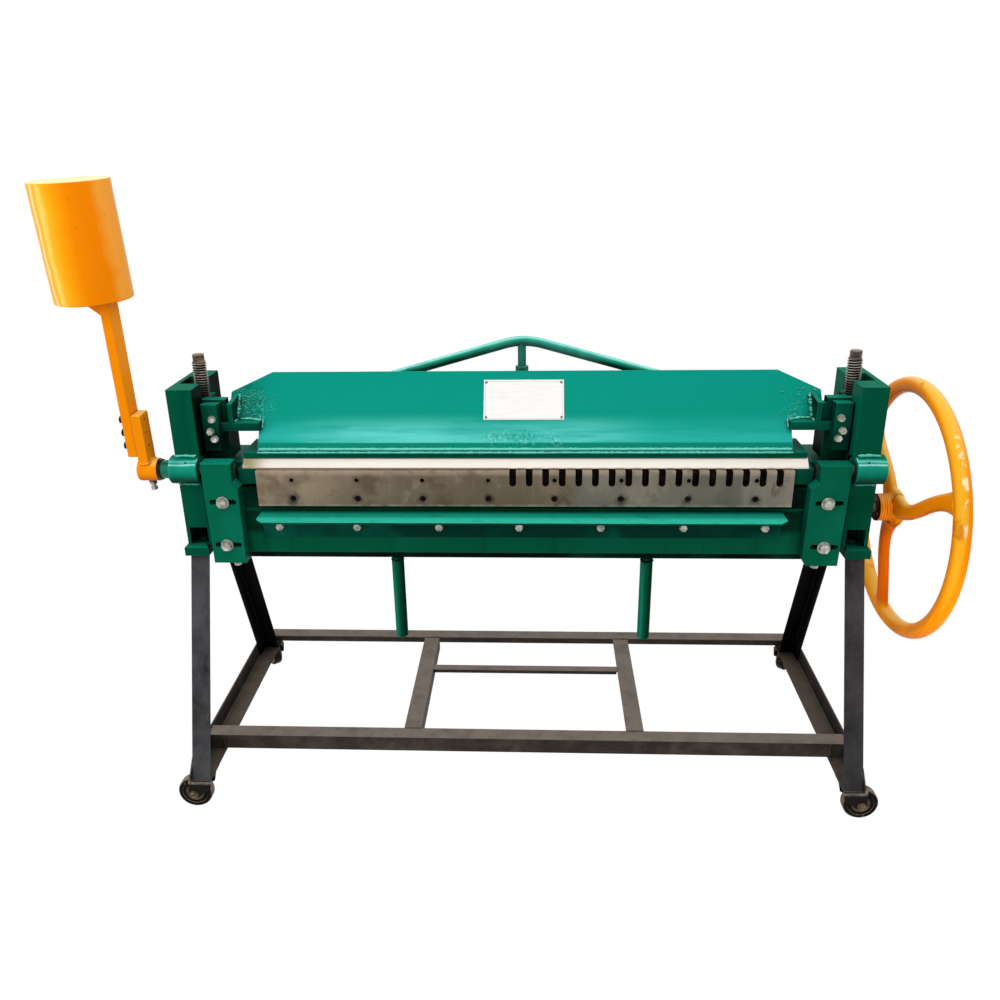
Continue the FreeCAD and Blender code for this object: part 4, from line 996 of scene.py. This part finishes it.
def caster_hub(end):
    """Hub cap and bearing ring on both sides of a caster wheel, axle nuts on its fork."""
    centre = middle("caster_wheel_" + end)
    swivel = math.radians(REAR_SWIVEL if "rear" in end else 0) * (1 if "right" in end else -1)
    axis = Vector((-math.sin(swivel), math.cos(swivel), 0))
    for name, profiles, metal, body in (
            ("caster_hub_", (HUB_CAP, BEARING_RING), hub_metal, "wheel_"),
            ("caster_nuts_", (AXLE_NUT,), nut_metal, "fork_")):
        bm = bmesh.new()
        for side in (axis, -axis):
            for profile in profiles:
                lathe(bm, centre, side, side.orthogonal().normalized(), profile, 32)
        join_points(bm)
        finish_piece(bm, name + end, metal, body + end, sharp=30)


spatter()
thread("lead_screw_right", "screw_right", 1)
thread("lead_screw_left", "screw_left", -1)
for wheel_end in ENDS:
    caster_hub(wheel_end)


# Camera, light and backdrop
def camera():
    """The photo's camera, solved from the level and square parts of the machine."""
    eye = P(39.8, -1923.7, 713.3)
    yaw, pitch, roll = (math.radians(v) for v in (-2.91, 20.91, -0.99))
    forward = Vector((math.sin(yaw) * math.cos(pitch), math.cos(yaw) * math.cos(pitch),
                      -math.sin(pitch)))
    right = Vector((math.cos(yaw), -math.sin(yaw), 0))
    up = right.cross(forward)
    across = right * math.cos(roll) + up * math.sin(roll)
    upward = up * math.cos(roll) - right * math.sin(roll)
    data = bpy.data.cameras.new("photo camera")
    data.lens = 31.71
    data.sensor_width = 36.0
    data.shift_x = 0.0034
    data.shift_y = -0.0217
    data.clip_end = 50
    o = bpy.data.objects.new("photo camera", data)
    o.matrix_world = (Matrix.Translation(eye)
                      @ Matrix((across, upward, -forward)).transposed().to_4x4())
    bpy.context.scene.collection.objects.link(o)
    bpy.context.scene.camera = o


OPEN_BEAM = 180     # degrees of spread of a plain soft lamp


def area_light(name, place, aim, wide, high, watts, beam=OPEN_BEAM):
    """Rectangular lamp. One with a narrow beam lights a single part and shows in no reflection."""
    data = bpy.data.lights.new(name, "AREA")
    data.shape = "RECTANGLE"
    data.size = wide
    data.size_y = high
    data.energy = watts
    data.spread = math.radians(beam)
    o = bpy.data.objects.new(name, data)
    aimed = (aim - place).to_track_quat("-Z", "Y").to_matrix().to_4x4()
    o.matrix_world = Matrix.Translation(place) @ aimed
    o.visible_glossy = beam == OPEN_BEAM
    bpy.context.scene.collection.objects.link(o)


def world():
    """Plain white surroundings for the eye and for reflections, with more light from above."""
    w = bpy.data.worlds.new("plain surroundings")
    bpy.context.scene.world = w
    w.use_nodes = True
    t = w.node_tree
    t.nodes.clear()

    def node(kind, operation=None, *values):
        """A node with its first inputs set or linked."""
        n = t.nodes.new(kind)
        if operation:
            n.operation = operation
        for k, value in enumerate(values):
            if isinstance(value, bpy.types.NodeSocket):
                t.links.new(value, n.inputs[k])
            else:
                n.inputs[k].default_value = value
        return n

    way = node("ShaderNodeSeparateXYZ", None, node("ShaderNodeTexCoord").outputs["Generated"])
    lift = node("ShaderNodeMath", "MULTIPLY_ADD", way.outputs["Z"], 0.5, 0.5).outputs[0]
    ramp = node("ShaderNodeValToRGB", None, lift)
    bar = ramp.color_ramp.elements
    bar.new(0.5)
    for element, (at, code) in zip(bar, ((0.2, "B4B4B6"), (0.5, "EAEAEB"), (0.85, "FFFFFF"))):
        element.position = at
        element.color = linear(code)
    light = node("ShaderNodeBackground", None, ramp.outputs["Color"], 0.93)
    show = node("ShaderNodeBackground", None, linear("FFFFFF"), 1.0)
    path = node("ShaderNodeLightPath")
    seen = node("ShaderNodeMath", "MAXIMUM", path.outputs["Is Camera Ray"],
                path.outputs["Is Glossy Ray"])
    seen = node("ShaderNodeMath", "MAXIMUM", seen.outputs[0], path.outputs["Is Transmission Ray"])
    mix = node("ShaderNodeMixShader", None, seen.outputs[0], light.outputs[0], show.outputs[0])
    out = node("ShaderNodeOutputWorld")
    t.links.new(mix.outputs[0], out.inputs["Surface"])


world()
camera()
target = P(0, 60, -60)
area_light("ceiling panel", P(-200, -900, 2300), target, 3.0, 1.6, 6)
area_light("ceiling tube", P(0, -1150, 1500), target, 2.6, 0.03, 5)
area_light("fill at the handwheel", P(960, -1150, -560), P(985, 40, -260), 0.3, 0.3, 0.28, beam=24)
area_light("fill at the counterweight", P(-450, -1150, 950), P(-960, 0, 560), 0.4, 0.4, 0.06,
           beam=26)
area_light("left window", P(-2500, -1300, 500), P(-900, 0, 500), 0.35, 1.8, 12)
bpy.context.scene.view_settings.view_transform = "Standard"
